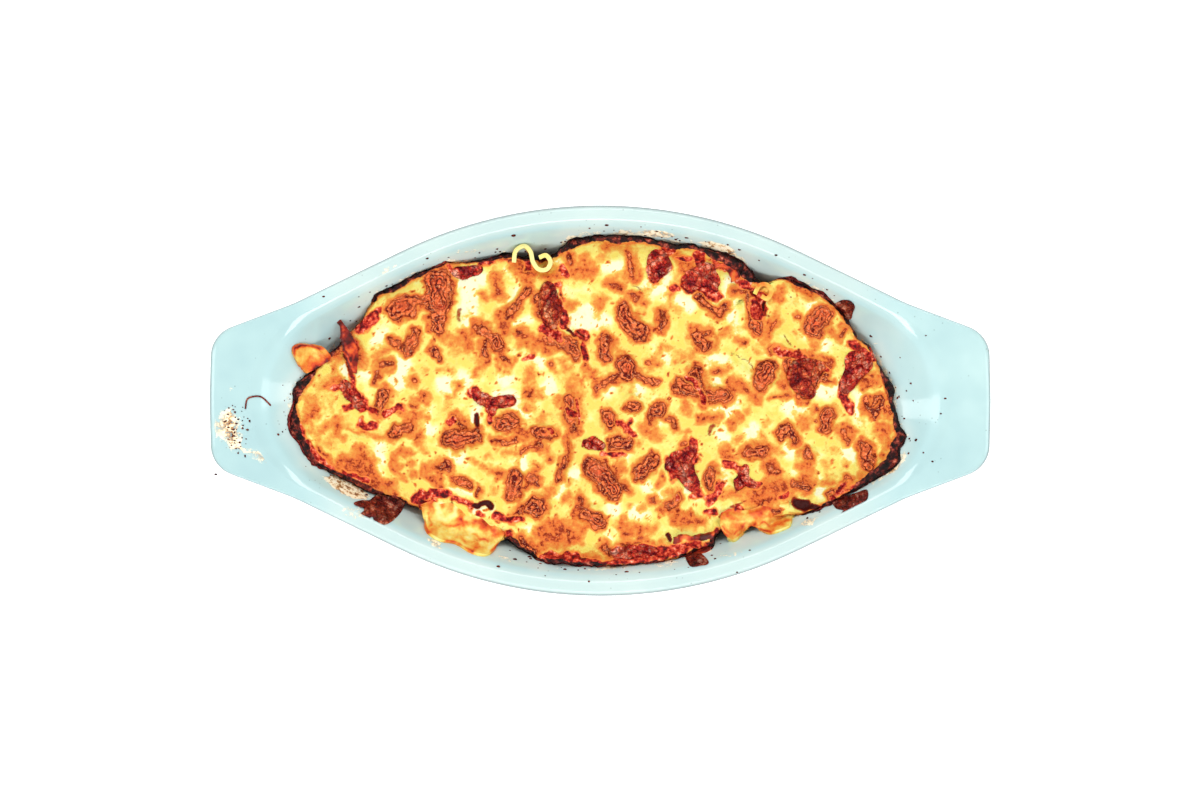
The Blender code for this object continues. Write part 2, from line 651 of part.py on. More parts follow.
# ------------------------------------------------------------------ pasta
def smooth_line(points, steps):
    """Even places on a smooth line through the points."""
    spots = np.array(points, dtype=float)
    spots = np.vstack((2 * spots[0] - spots[1], spots, 2 * spots[-1] - spots[-2]))
    line = []
    for a, b, c, d in zip(spots, spots[1:], spots[2:], spots[3:]):
        for t in np.linspace(0.0, 1.0, 12, endpoint=False):
            line.append(0.5 * (2 * b + (c - a) * t + (2 * a - 5 * b + 4 * c - d) * t ** 2
                               + (3 * b - a - 3 * c + d) * t ** 3))
    line.append(spots[-2])
    line = np.array(line)
    walked = np.concatenate(([0.0], np.cumsum(np.linalg.norm(np.diff(line, axis=0), axis=1))))
    even = np.linspace(0.0, walked[-1], steps)
    return np.column_stack([np.interp(even, walked, line[:, axis]) for axis in (0, 1)])


def band_body(lower_left, lower_right, upper_left, upper_right):
    """Closed body from the four long edges of a band, each a list of places."""
    mesh = bmesh.new()
    rows = [[mesh.verts.new(spot) for spot in row]
            for row in (lower_left, lower_right, upper_right, upper_left)]
    count = len(lower_left)
    for row, following in zip(rows, rows[1:] + rows[:1]):
        for step in range(count - 1):
            mesh.faces.new((row[step], row[step + 1], following[step + 1], following[step]))
    mesh.faces.new([row[0] for row in rows])
    mesh.faces.new([row[-1] for row in rows])
    return mesh


def ruffle_body(points, top, bottom, half_thickness):
    line = smooth_line(points, RUFFLE_STEPS)
    along = np.gradient(line, axis=0)
    along /= np.linalg.norm(along, axis=1)[:, None]
    side = np.column_stack((-along[:, 1], along[:, 0])) * half_thickness
    left, right = line + side, line - side

    def at(border, height):
        return [(x, y, float(height(x, y))) for x, y in border]
    return band_body(at(left, bottom), at(right, bottom), at(left, top), at(right, top))


def make_ruffle(name, points, top):
    body = ruffle_body(points, level(top), piece_bottom, PASTA_THICKNESS / 2)
    return finish_mesh(name, body, "pasta")


def beyond(end, before, extra):
    """The end of a line, moved on by extra."""
    way = np.array(end) - np.array(before)
    return tuple(np.array(end) + way / np.linalg.norm(way) * extra)


def ruffle_well(name, points):
    line = [beyond(points[0], points[1], PIECE_GAP), *points[1:-1],
            beyond(points[-1], points[-2], PIECE_GAP)]
    half_thickness = PASTA_THICKNESS / 2 + PIECE_GAP
    body = ruffle_body(line, level(WELL_TOP), level(WELL_BOTTOM), half_thickness)
    return finish_mesh(name + "_well", body, "filling")


def sheet_rows(sheet):
    """Rows of places on a sheet's upper face, from its outer to its inner border."""
    along, across = SHEET_STEPS
    _, outer, inner, heights, wave_count, wave_height = sheet
    outer_line, inner_line = smooth_line(outer, along), smooth_line(inner, along)
    phase = np.linspace(0.0, 2 * math.pi * wave_count, along)
    rows = []
    for share in np.linspace(0.0, 1.0, across):
        plan = outer_line * (1 - share) + inner_line * share
        height = heights[0] * (1 - share) + heights[1] * share
        height = height + wave_height * (1 - 0.6 * share) * np.sin(phase)
        x, y = plan[:, 0], plan[:, 1]
        floor = wall_height(x, y) + WALL_GAP + PASTA_THICKNESS + 0.1
        rows.append(np.column_stack((x, y, np.maximum(height, floor))))
    return rows


def slab(rows, drop):
    """Closed body under rows of places: its lower face lies drop below the upper one."""
    mesh = bmesh.new()
    upper = [[mesh.verts.new(spot) for spot in row] for row in rows]
    lower = [[mesh.verts.new((x, y, drop(z))) for x, y, z in row] for row in rows]
    for layer in (upper, lower):
        for row, following in zip(layer, layer[1:]):
            for step in range(len(row) - 1):
                mesh.faces.new((row[step], row[step + 1], following[step + 1], following[step]))
    rims = [(upper[0], lower[0]), (upper[-1], lower[-1]),
            ([row[0] for row in upper], [row[0] for row in lower]),
            ([row[-1] for row in upper], [row[-1] for row in lower])]
    for high, low in rims:
        for step in range(len(high) - 1):
            mesh.faces.new((high[step], high[step + 1], low[step + 1], low[step]))
    return mesh


def make_sheet(sheet):
    rows = sheet_rows(sheet)
    return finish_mesh(sheet[0], slab(rows, lambda z: z - PASTA_THICKNESS), "pasta")


def grown(rows, margin):
    """The same rows with their plan outline moved outwards."""
    places = np.array(rows)
    place_x, place_y = places[..., 0].copy(), places[..., 1].copy()
    across = places[0, :, :2] - places[-1, :, :2]
    across /= np.linalg.norm(across, axis=1)[:, None]
    along = places[:, -1, :2] - places[:, 0, :2]
    along /= np.linalg.norm(along, axis=1)[:, None]
    place_x[0] += across[:, 0] * margin
    place_y[0] += across[:, 1] * margin
    place_x[-1] -= across[:, 0] * margin
    place_y[-1] -= across[:, 1] * margin
    place_x[:, -1] += along[:, 0] * margin
    place_y[:, -1] += along[:, 1] * margin
    place_x[:, 0] -= along[:, 0] * margin
    place_y[:, 0] -= along[:, 1] * margin
    return np.stack((place_x, place_y, places[..., 2]), axis=-1)


def sheet_well(sheet):
    rows = grown(sheet_rows(sheet), PIECE_GAP + 0.1)
    rows[..., 2] -= PASTA_THICKNESS + PIECE_GAP
    mesh = slab([list(map(tuple, row)) for row in rows], lambda z: WELL_TOP)
    return finish_mesh(sheet[0] + "_well", mesh, "filling")


# ------------------------------------------------------------------ the whole
def clear_scene():
    for item in list(bpy.data.objects):
        bpy.data.objects.remove(item, do_unlink=True)


def remove(items):
    for item in items:
        bpy.data.objects.remove(item, do_unlink=True)


def build():
    clear_scene()
    make_dish()
    filling = make_filling()
    cheese = make_cheese()
    for piece in SAUCES:
        make_sauce(piece)
    for piece in DRIPS:
        make_drip(piece)
    for ruffle in RUFFLES:
        make_ruffle(*ruffle)
    for sheet in SHEETS:
        make_sheet(sheet)
    edge_wells = [blob_well(piece) for piece in DRIPS]
    edge_wells += [ruffle_well(name, points) for name, points, _ in RUFFLES]
    edge_wells += [sheet_well(sheet) for sheet in SHEETS]
    sauce_wells = [blob_well(piece) for piece in SAUCES]
    cut(filling, edge_wells + sauce_wells)
    cut(cheese, edge_wells + sauce_wells)
    remove([item for item in bpy.data.objects if item.name.endswith("_well")])


build()
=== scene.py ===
"""The looks of a lasagna baked in its oval stoneware dish.

Lengths are in millimetres in the tables and functions, and become metres when a piece's mesh
is finished. The outlines and heights are those of the solids, worked out again here.
"""

import math

import bmesh
import bpy
import numpy as np
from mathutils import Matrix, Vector


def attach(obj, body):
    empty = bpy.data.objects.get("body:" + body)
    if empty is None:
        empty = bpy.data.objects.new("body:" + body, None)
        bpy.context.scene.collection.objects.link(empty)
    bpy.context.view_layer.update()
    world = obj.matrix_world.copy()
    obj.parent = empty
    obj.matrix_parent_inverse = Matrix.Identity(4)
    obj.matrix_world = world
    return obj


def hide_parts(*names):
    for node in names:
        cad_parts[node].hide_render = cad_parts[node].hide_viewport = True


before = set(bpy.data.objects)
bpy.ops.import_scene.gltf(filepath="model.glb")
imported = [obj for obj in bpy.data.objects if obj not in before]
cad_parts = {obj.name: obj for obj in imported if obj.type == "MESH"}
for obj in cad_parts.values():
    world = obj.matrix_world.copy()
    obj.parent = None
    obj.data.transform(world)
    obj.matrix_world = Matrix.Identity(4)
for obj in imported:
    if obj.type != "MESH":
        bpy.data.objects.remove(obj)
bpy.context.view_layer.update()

MM = 0.001

# ------------------------------------------------------------------ sizes of the solids, mm
LENGTH = 360.0
WIDTH = 180.0
HEIGHT = 56.0
RIM_THICKNESS = 6.0
SIDE_SLOPE = 0.485
SIDE_PEAK = 23.4               # past the middle of a long side, where its straight parts meet
SIDE_RADIUS = 209.4
FLARE_X = 141.2                # where the grips begin
FLARE_RADIUS = 93.0
GRIP_SLOPE = 0.375
GRIP_CORNER_RADIUS = 14.5
GRIP_END_RADIUS = 360.0
MOUTH_LENGTH = 328.4
MOUTH_TIP_RADIUS = 45.0
MOUTH_SIDE_RADIUS = 204.0
FLOOR_LENGTH = 196.0
FLOOR_WIDTH = 108.0
FLOOR_POWER = 2.5              # 2 would be an ellipse, more is squarer
FLOOR_THICKNESS = 6.5
WALL_SHIFT = 4.0               # of the outer wall, outward and down from the inner one

WALL_GAP = 1.0
PIECE_CLEAR = 1.6
FILLING_BOTTOM = FLOOR_THICKNESS + WALL_GAP + 0.6
FILLING_TOP = 37.0
PIECE_BOTTOM = FILLING_TOP + 0.6
CHEESE_LEVEL = 42.0
CHEESE_LOW = 38.8
CHEESE_HIGH = 47.5
EDGE_LOW = 40.0
EDGE_HIGH = 49.5
DRIP_HIGH = 54.7
BURNT_WIDTH = 4.4
PASTA_THICKNESS = 2.0
RIM_ROUNDING = 2.6
RIM_LEVEL = 55.6
SHEET_ROUNDING = 0.84
RUFFLE_ROUNDING = 0.75

# ------------------------------------------------------------------ fineness and fine relief
SIDE_POINTS = 8
ARC_STEPS = 40
LATTICE_SIZE = 64
DISH_STEPS = 320
FILLING_STEPS = 720
CHEESE_CELLS = (400, 216)
SAUCE_CELLS = 56
DRIP_CELLS = 44
JOIN_DISTANCE = 1e-4
BUBBLE_SPACING = 2.3
BUBBLE_RADIUS = 1.6
BUBBLE_HEIGHT = 0.9
SAUCE_SUNK = 0.9               # below the cheese round it
SAUCE_LAP = 0.3                # past its own outline, over the hollow's edge
SAUCE_HOLLOW = 2.2             # depth of the hollow in the cheese under it
LOBE_SPREAD = 0.42             # of a lobe of the sauce, radians
DRIP_LUMP = 3.2
SPECK_FLATNESS = 0.45

WALL_PROFILE = (
    (0.0, 55.4), (0.05, 55.1), (0.13, 53.4), (0.20, 50.6), (0.33, 43.0), (0.48, 33.6),
    (0.66, 22.6), (0.84, 12.4), (0.94, 8.2), (1.0, 6.8),
)

# Where the lasagna ends, going round from the upper left, seen from above.
FOOD_EDGE = (
    (-107, 45), (-103, 51), (-95, 57.5), (-85, 62.5), (-73, 64.5), (-63, 64.5), (-52, 66.5),
    (-44, 69.5), (-36, 67.5), (-28, 66), (-22, 69), (-15, 74), (-5, 76.5), (5, 78), (15, 77.5),
    (24, 75.5), (33, 73), (41, 73.5), (50, 70.5), (60, 68), (67, 64), (72, 57.5), (76, 54.5),
    (84, 57.5), (91, 57.5), (98, 54), (106, 48), (112, 42), (118, 34), (120, 29), (126, 26),
    (129, 20), (133, 12), (137, 5), (136.5, 0), (138, -8), (142, -16), (140, -22), (138, -29),
    (136, -34), (130, -39), (122, -45), (113, -50.5), (103, -50.5), (95, -53), (87, -54),
    (78, -55), (68, -57), (59, -59), (54, -64), (52, -69), (46, -70.5), (38, -72.5), (30, -75.5),
    (20, -77), (8, -78), (-4, -78), (-12, -77.5), (-18, -76), (-24, -77), (-30, -74), (-37, -69),
    (-44, -65.5), (-52, -66), (-60, -65), (-68, -61), (-76, -57), (-84, -51), (-93, -47),
    (-106, -43.5), (-117, -38), (-127, -32.5), (-134, -30), (-138.5, -23), (-143, -16), (-145, -9),
    (-143.5, -2), (-142.5, 5), (-138, 11), (-131, 18), (-126, 23), (-120, 29), (-113, 36),
)

# Blisters of the cheese: x, y, length, width, turn in degrees, height.
BLISTERS = (
    (-74.5, 50, 24, 13, 90, 1.6), (-90, 43, 20, 11, 8, 1.4), (-88, 27, 13, 7, 70, 1.0),
    (-99, 17, 10, 6, 0, 0.9), (-38, 45, 17, 7, 42, 1.2), (-53, 28, 14, 12, 0, 1.1),
    (-40, 27, 12, 8, 10, 1.0), (15, 36, 18, 9, 125, 1.5), (28, 39, 12, 5, 80, 0.9),
    (51, 44, 16, 5, -25, 1.0), (13, 66, 16, 8, 90, 0.8), (50, 28, 9, 8, 0, 1.2),
    (70, 43, 19, 8, 106, 1.4), (3, 25, 12, 7, 85, 1.2), (11, 14, 15, 13, 0, 1.5),
    (15, -1.5, 9, 9, 0, 1.4), (26, -5, 9, 7, 60, 1.2), (42, 9, 19, 10, 130, 1.7),
    (53, 3, 17, 8, -8, 1.6), (5, -10, 10, 9, 0, 1.1), (77, 13, 12, 12, 0, 1.8),
    (102, 37, 13, 10, 20, 1.5), (105, -9, 12, 7, 100, 1.3), (127, -3, 10, 9, 0, 1.2),
    (87, -15, 11, 9, -30, 1.4), (123, -26, 14, 9, 80, 1.5), (96, -25, 10, 8, 60, 1.1),
    (72, -24, 12, 8, 20, 1.1), (-14, -5, 20, 6, 96, 1.1), (-17, -28, 22, 5, 80, 1.1),
    (-64, -18, 18, 10, 5, 1.8), (-43, -11, 13, 9, 10, 1.5), (-26, -15, 12, 7, -20, 1.1),
    (-102, -1, 12, 6, 100, 1.2), (-93, -14, 10, 7, 0, 1.3), (-64, -38, 8, 6, 0, 1.2),
    (-38, -39, 15, 9, 70, 1.5), (-28, -49, 14, 11, 40, 1.1), (1, -36, 19, 10, -50, 1.7),
    (-5, -53, 11, 9, 0, 1.4), (21, -31, 14, 9, 45, 1.6), (40, -55, 12, 7, 0, 1.0),
    (52, -35, 10, 6, 90, 1.0), (33, -47, 12, 7, 20, 1.0), (94, -39, 9, 5, 0, 0.9),
    (-115, -28, 16, 12, -30, 1.0),
)

# Browned places: how brown, width, and the places that the patch runs through.
# About 0.5 is golden, 0.7 orange, 1 a dark blister.
BROWNS = (
    # left part
    (1.0, 11, (-95, 42.3), (-90, 43.5)), (1.0, 6, (-86, 45.5), (-80, 46)),
    (1.0, 13, (-74.6, 55), (-74.4, 46)), (0.95, 9, (-75, 38), (-74.6, 34)),
    (0.62, 7, (-78, 61), (-69, 62)), (1.05, 3.4, (-79.5, 38)),
    (1.0, 6.5, (-85.8, 31), (-89.6, 24)), (0.8, 6, (-97, 27.5), (-94, 26)),
    (0.6, 4, (-99, 24.5), (-103, 22)), (0.45, 8, (-72, 29), (-66, 28)),
    (0.62, 5, (-64, 31), (-61, 24)), (0.5, 4, (-68, 21.5), (-62, 22)),
    (1.0, 5, (-78, 24), (-75.5, 20.5)), (0.7, 7, (-102, 16), (-97, 17)),
    (0.85, 4, (-103.5, 13), (-105, 7.5)), (0.98, 5, (-100.5, 4), (-102.8, -5)),
    (0.5, 4, (-98, 4), (-98.5, -3)), (0.8, 6, (-87, 8.5)), (0.6, 3, (-87.3, 13)),
    (0.55, 4, (-82, 13.5)), (0.75, 2.6, (-75, 14)), (0.5, 3, (-70, 15)), (0.85, 4.6, (-81, 2)),
    (0.62, 3.4, (-87, -0.5)), (0.8, 1.2, (-95, -3), (-91, -7), (-85, -8), (-79, -7)),
    (1.0, 6, (-96, -16), (-89, -12.6)), (0.55, 4, (-85, -16), (-83.5, -22)),
    (0.8, 2.4, (-94.6, -27), (-92.2, -23.6), (-89, -25)),
    (0.9, 1.2, (-95, -27), (-96.2, -30), (-94, -35), (-90.6, -38.4)), (0.55, 4, (-94, -30)),
    (0.55, 3, (-87, -35)), (0.45, 2.6, (-88, -29)), (0.65, 6, (-80, -32), (-76, -30)),
    (1.0, 7, (-72, -30.5)), (0.68, 4, (-79, -36), (-75, -38)), (0.62, 6, (-111, -23)),
    (0.85, 2.8, (-122, -10), (-121, -14)), (0.8, 1.2, (-121, -17), (-118.5, -17)),
    (0.30, 6, (-120, -10), (-112, -13)), (0.66, 12, (-119, -32), (-110, -30), (-108, -37)),
    (0.62, 6, (-104, -38), (-97, -40)), (0.50, 3, (-137, 2), (-136, -8), (-130, -22)),
    (0.24, 6, (-128, 12), (-127, -8)), (0.62, 4, (-133.6, 0), (-131, -6)),
    (0.66, 3, (-131, -14), (-126, -12)), (0.6, 3, (-126, 6), (-123, 10)),
    (0.95, 1.3, (-121.6, 18.6), (-120, 18)), (0.9, 1.2, (-124, 15.6)), (0.9, 1.3, (-131, -3)),
    (0.75, 4, (-131, -22), (-124, -31)), (0.85, 1.6, (-121.5, 18)), (0.7, 1.6, (-124.5, 15)),
    (1.0, 1.8, (-131, -3.4)), (0.5, 5, (-125, -20)), (0.9, 4, (-127.5, 20), (-121, 24.5)),
    (0.62, 7, (-118, 28), (-113.5, 24), (-111.6, 18)),
    (0.9, 1.2, (-116, -13), (-110, -15), (-100, -16.5)),
    # middle left
    (0.66, 6, (-48.6, 57), (-47.4, 49)), (0.52, 5, (-54.6, 47.4)),
    (0.84, 6.4, (-43, 40.5), (-32.6, 51)), (0.6, 7, (-46.4, 39), (-44, 31)),
    (0.78, 8, (-56, 33), (-51, 30)), (1.0, 7.6, (-48.6, 28), (-47.4, 25)),
    (0.9, 5, (-54, 27), (-54, 20.6)), (0.82, 4.4, (-46, 20.4), (-41.6, 18)),
    (0.78, 4.6, (-38, 32.4), (-34, 30.8)), (0.5, 7, (-34, 27)), (0.62, 2.6, (-55.6, 17)),
    (0.52, 2.6, (-58.4, 13)), (0.9, 2.6, (-47, 14.4)), (0.5, 4, (-43.6, 13)),
    (0.66, 2.6, (-67, 8), (-68, 3.4)), (0.7, 4, (-71, 2.4)), (0.42, 5, (-70, -1)),
    (0.68, 5, (-30, 25), (-24, 23.4)), (0.72, 8, (-27, 48), (-27, 40)),
    (0.9, 7, (-24, 42), (-23, 30)), (0.9, 8, (-24, 29), (-17, 27)),
    (1.0, 7.4, (-14, 27), (-12, 22)), (0.9, 3, (-27, 47)), (0.66, 6, (-38, 63.4), (-31.6, 58)),
    (0.58, 7, (-25, 58), (-9, 60.4)), (0.72, 5.4, (-14.6, 68), (-13.4, 64.4)),
    (0.66, 4.4, (-13.6, 44.6)), (0.66, 5, (-1, 46)), (0.62, 5, (-8, 65), (-6, 58)),
    (0.55, 6, (-4, 61)), (0.8, 4.6, (-21.6, 17)), (0.62, 3, (-17, 18.4)), (0.5, 2, (-15, 15.4)),
    (0.85, 3, (-7, 16)), (0.52, 4, (-4, 12)), (0.52, 4.4, (-33, 13.4), (-34.2, 2)),
    (0.68, 3, (-26.6, 3.2)), (0.98, 2.2, (-33.6, -2.3)), (0.42, 3, (-31, -4)),
    (0.62, 3, (-11, 10), (-14, 4)), (0.62, 3, (-19, 0.4)), (0.96, 8, (-14, -0.6), (-13.4, -8)),
    (0.9, 5.6, (-12.4, -8), (-12, -13.4)), (0.7, 4.4, (-15, -15), (-15.4, -26)),
    (0.62, 2.4, (-9, 2), (-8.2, -8)), (0.9, 5, (-16.6, -27), (-19, -36)),
    (1.0, 9, (-70, -17), (-65, -18.6), (-58.6, -17)), (0.7, 7, (-66, -8), (-63.4, -12.6)),
    (0.5, 4, (-55, -17)), (0.96, 8, (-46, -10), (-40.4, -10)), (0.78, 3, (-52, -9)),
    (1.02, 3, (-49.6, -18), (-44, -18.4), (-39.4, -19)), (0.86, 3, (-37.4, -15.6), (-34, -18)),
    (0.88, 7, (-29, -15.4), (-22, -15)), (1.0, 4, (-28.2, -20)), (0.92, 3, (-30, -20), (-37, -25)),
    (0.84, 3, (-26, -21), (-24.4, -26)), (0.62, 3, (-45, -24), (-40, -25)), (0.5, 2, (-48, -22.4)),
    (0.52, 3, (-51, -25.4)), (0.6, 3, (-66, -23)), (0.5, 5, (-26, -9.4)),
    # lower left
    (1.0, 6, (-65.6, -37), (-61.6, -38.6)), (0.96, 3, (-55.6, -40), (-56.6, -44)),
    (0.62, 3, (-57.4, -28.4)), (0.78, 3, (-54, -30.4)), (0.78, 4.6, (-50, -32), (-47.6, -35)),
    (0.42, 2, (-50, -41)), (0.46, 2, (-39, -26), (-38.6, -32)),
    (1.02, 7.6, (-39.6, -35.4), (-41, -44)), (0.96, 6, (-33, -35), (-30.4, -37.6)),
    (0.9, 3, (-36, -41), (-33, -38)), (0.72, 4, (-29, -30), (-31, -32)), (0.82, 4, (-25, -27)),
    (0.84, 11, (-31.4, -49.6), (-29, -50)), (0.84, 5, (-36, -50), (-41, -55.6)),
    (0.62, 4, (-23, -41), (-26, -46)), (0.66, 3.6, (-15, -45)), (0.46, 2, (-13.4, -38.4)),
    (0.52, 2.6, (-8, -44)), (0.78, 4, (-9, -46), (-9, -51)), (1.0, 8, (-7, -53), (-2, -56)),
    (0.62, 12, (-25, -61.4), (-13.4, -62)), (1.05, 2.8, (-20, -62)),
    (0.72, 6, (-15, -59.6), (-14, -64)), (0.72, 3, (-25, -60)), (0.72, 5, (-27, -66)),
    (0.68, 2.6, (-16, -71.4)), (0.72, 4, (-10, -73.6), (0, -74)),
    (0.76, 6, (-37, -63.6), (-31, -71)), (0.95, 1.8, (-84.6, -49.6)),
    # middle right
    (1.0, 6, (3, 28), (2.6, 20.6)), (0.9, 3, (6, 27), (5.4, 24)),
    (1.0, 8, (11, 43), (12.6, 37), (19.6, 30)), (0.88, 5, (29, 42), (27.4, 34)),
    (0.48, 3, (33, 43.6), (33.4, 48.4)), (0.84, 4, (14, 49.6), (18, 47.4)), (0.52, 2, (22, 46)),
    (0.5, 3, (18, 41)), (0.84, 3.6, (2.6, 54.2), (9.6, 52.8)), (0.62, 1, (2, 54.6), (10, 58)),
    (0.7, 7, (12.4, 69), (13.6, 64), (15, 58.6)), (0.62, 5, (2, 72.4), (9, 73.4)),
    (0.54, 3, (2, 67)), (0.72, 2, (-1.4, 62)), (1.0, 9.4, (11, 17), (12, 12.6)),
    (0.98, 3.8, (9, 11), (3, 9.4), (-1.6, 6)), (0.94, 4.2, (15, 13), (20, 10.4), (25, 8.6)),
    (0.52, 3, (13, 9), (14, 5)), (0.44, 2, (9.4, 5)), (1.05, 7.6, (15, -1.8)),
    (1.08, 6.4, (28, -2.8), (26, -5.8)), (0.98, 3, (24.6, -8), (23.4, -11)), (0.62, 4, (20, -13)),
    (0.5, 6, (22.6, 17.4)), (1.08, 2.8, (22.6, 17.4)), (0.46, 1, (25, 20), (28, 26), (35, 25.4)),
    (0.52, 4, (37, 20), (40, 22)), (0.42, 2, (28, 15.4)), (1.0, 9, (38, 7), (43, 5.4)),
    (1.0, 7.4, (44, 12.6), (46, 5)), (0.98, 8, (50, 1.6), (57, 2)),
    (0.62, 6, (62, 8), (69, 4), (73, 2)), (0.98, 6, (46, 31), (48.4, 26)),
    (0.9, 3, (47, 32), (50.6, 31)), (0.58, 6, (53, 25)), (0.78, 4.8, (65, 27)), (0.6, 4, (73, 23)),
    (0.52, 1, (52.4, 13), (57, 15), (60, 18)), (0.5, 2, (39.6, -2)), (0.44, 4, (40, -6)),
    (0.72, 4, (45.6, -8.4), (54, -8)), (0.94, 4.2, (32, -9), (34.2, -12)),
    (0.52, 2, (36, -14), (41, -15)), (0.62, 4, (25.4, -17)), (1.0, 8, (3, -7.4), (4, -10.6)),
    (0.98, 8, (6, -20), (12, -20)), (0.5, 3, (16, -20)), (0.98, 4, (39, -20.4)),
    (0.66, 5, (38, -24)), (0.7, 5, (57, -22), (61, -26)), (0.8, 3, (64, -7), (61, -11)),
    (0.52, 3, (65, -17)), (0.42, 3, (68, -4)), (0.98, 5, (46, 47.4), (51, 42.6)),
    (0.92, 5, (51, 42.6), (55, 40.6), (58.4, 43)), (0.52, 3, (42, 34.4)), (0.44, 2, (41, 30)),
    (1.02, 7, (70, 50), (72, 44), (72, 38), (73, 33.4)), (0.78, 5, (62, 50.6), (71, 50.6)),
    (0.72, 2.6, (1, 6), (-1.6, 3)), (0.55, 4, (36, 41)), (0.42, 5, (58, 31)),
    # right part
    (0.7, 5, (84, 52)), (0.66, 7, (36, 68), (40, 63.6)), (0.7, 4, (56, 67), (64, 61)),
    (0.68, 4, (66, 58), (68, 51), (75, 50)), (0.55, 4, (82, 47.6)), (0.68, 5, (91, 53), (99, 49)),
    (1.02, 3.6, (92, 39.4)), (1.04, 10, (103, 38.6), (99.6, 34.6)), (0.84, 2.8, (107, 31.4)),
    (0.84, 4, (114, 33), (111, 30)), (0.46, 2, (91, 32)), (0.56, 4, (99, 27)),
    (0.7, 6, (81, 36), (78.4, 31)), (1.06, 9, (78, 15), (75, 9.6)), (0.98, 4, (80, 24), (88, 22)),
    (0.6, 3, (76, 26)), (1.1, 12, (91, 16), (95, 9)), (1.02, 7, (94, 3)),
    (0.88, 3, (80, 2), (87, 2.4)), (0.66, 7, (85, 8)), (0.96, 5, (101, 16), (103.4, 12)),
    (0.62, 4, (98, 19), (105, 18)), (0.95, 2.8, (102, 9), (107, 8)),
    (0.62, 6, (121, 8.6), (129, 9.4)), (0.95, 2.6, (122, 12), (127, 11)),
    (0.9, 2.6, (121, 5.6), (125.6, 8)), (0.98, 4, (123.4, 1), (124, -4.6), (128, -6)),
    (0.98, 4, (126, -2), (130, 2), (132, -1), (129.4, -4)), (1.15, 2.2, (134.4, -5.4)),
    (0.55, 5, (134.4, -5.4)), (1.08, 6.4, (106, -5.8), (105, -12)), (0.88, 4, (101, -4)),
    (0.98, 6, (83.4, -16), (88, -13), (91.4, -18.6)), (0.55, 6, (96, -10)), (0.55, 8, (114, -16)),
    (0.92, 4.4, (113, -14.4), (114.4, -19)), (0.66, 4, (129, -14)),
    (0.98, 6.6, (123, -21), (123.4, -31)), (0.92, 2, (136, -19)), (0.95, 2, (131.4, -26)),
    (1.02, 6.6, (96, -25)), (0.6, 8, (95, -30)), (0.52, 5, (108, -23)), (0.62, 4, (82, -23)),
    (0.95, 7, (69.6, -24), (76, -23)), (0.5, 1, (78, -7), (75, -17)),
    (0.85, 5, (78, -30), (82, -34)), (0.74, 2.4, (81, -39)), (0.6, 12, (73, -45), (84, -41)),
    (1.0, 2.8, (73, -50), (76, -47)), (1.0, 3, (78, -50), (82, -51)),
    (1.05, 4.6, (91, -39.4), (96, -41)), (0.56, 8, (95, -37.6)), (0.66, 3, (98, -36)),
    (0.5, 2, (104.6, -28), (105, -34)), (0.52, 2, (113, -30)), (0.85, 1.6, (104, -38), (109, -38)),
    (0.98, 4, (114, -37), (111, -42)), (1.08, 6, (107, -44), (108, -48)), (0.72, 3, (120, -36)),
    (0.66, 3, (118, -40), (124, -37)), (0.62, 6, (132, -14), (134, -22)),
    # lower right
    (1.02, 9.6, (-3, -31), (1, -34), (6, -42)), (0.56, 4, (9, -30)),
    (0.84, 4, (10, -39), (13, -42)), (1.0, 8, (24.6, -28), (18.4, -33.6)),
    (0.98, 6, (51.6, -31.6), (51.4, -38.6)), (0.88, 5, (24.4, -46.4)),
    (1.0, 5, (36, -45), (31.4, -49.6)), (0.84, 2.6, (27.4, -51.4)), (0.6, 4, (33, -43)),
    (0.55, 2, (20, -50)), (0.55, 2, (14, -49)), (0.74, 2.2, (11.4, -54.4)),
    (0.58, 4, (11, -60), (24, -58.6)), (0.62, 6, (36, -55), (45, -57)), (1.0, 2.6, (42, -52.6)),
    (0.85, 2, (43, -57)), (1.0, 7, (0, -57)), (0.44, 3, (21, -64)),
    (0.72, 7, (2, -67.4), (6, -71)), (0.8, 4, (10, -66), (20, -66.6)),
    (0.62, 5, (27, -69), (33, -68)), (0.65, 5, (39, -31)), (0.7, 1, (29, -34), (28, -39)),
    (0.62, 4, (57, -45), (66, -42)),
)

# Folds and raised welts of the surface: start, end, half-width, height.
FOLDS = (
    ((-120, 33), (-115, 8), 3.0, 1.6), ((-124, 20), (-112, -14), 2.5, -1.3),
    ((-120, -14), (-100, -16), 2.5, -1.4), ((-95, -20), (-92, -34), 3.0, -1.2),
    ((61, 22), (72, 14), 2.5, -1.5), ((82, 34), (93, 22), 3.0, -2.0),
    ((-22, 55), (-18, 28), 6.0, 2.6), ((-16, 30), (-6, 14), 4.0, 1.6),
    ((-9, 12), (-12, -40), 4.0, -1.2), ((34, 52), (66, 40), 4.0, 1.0),
    ((-80, -46), (-60, -44), 3.5, 1.2), ((55, -40), (90, -42), 4.0, 1.4),
    ((96, 20), (104, -4), 6.0, 1.2), ((-66, -14), (-40, -16), 7.0, 1.5),
)

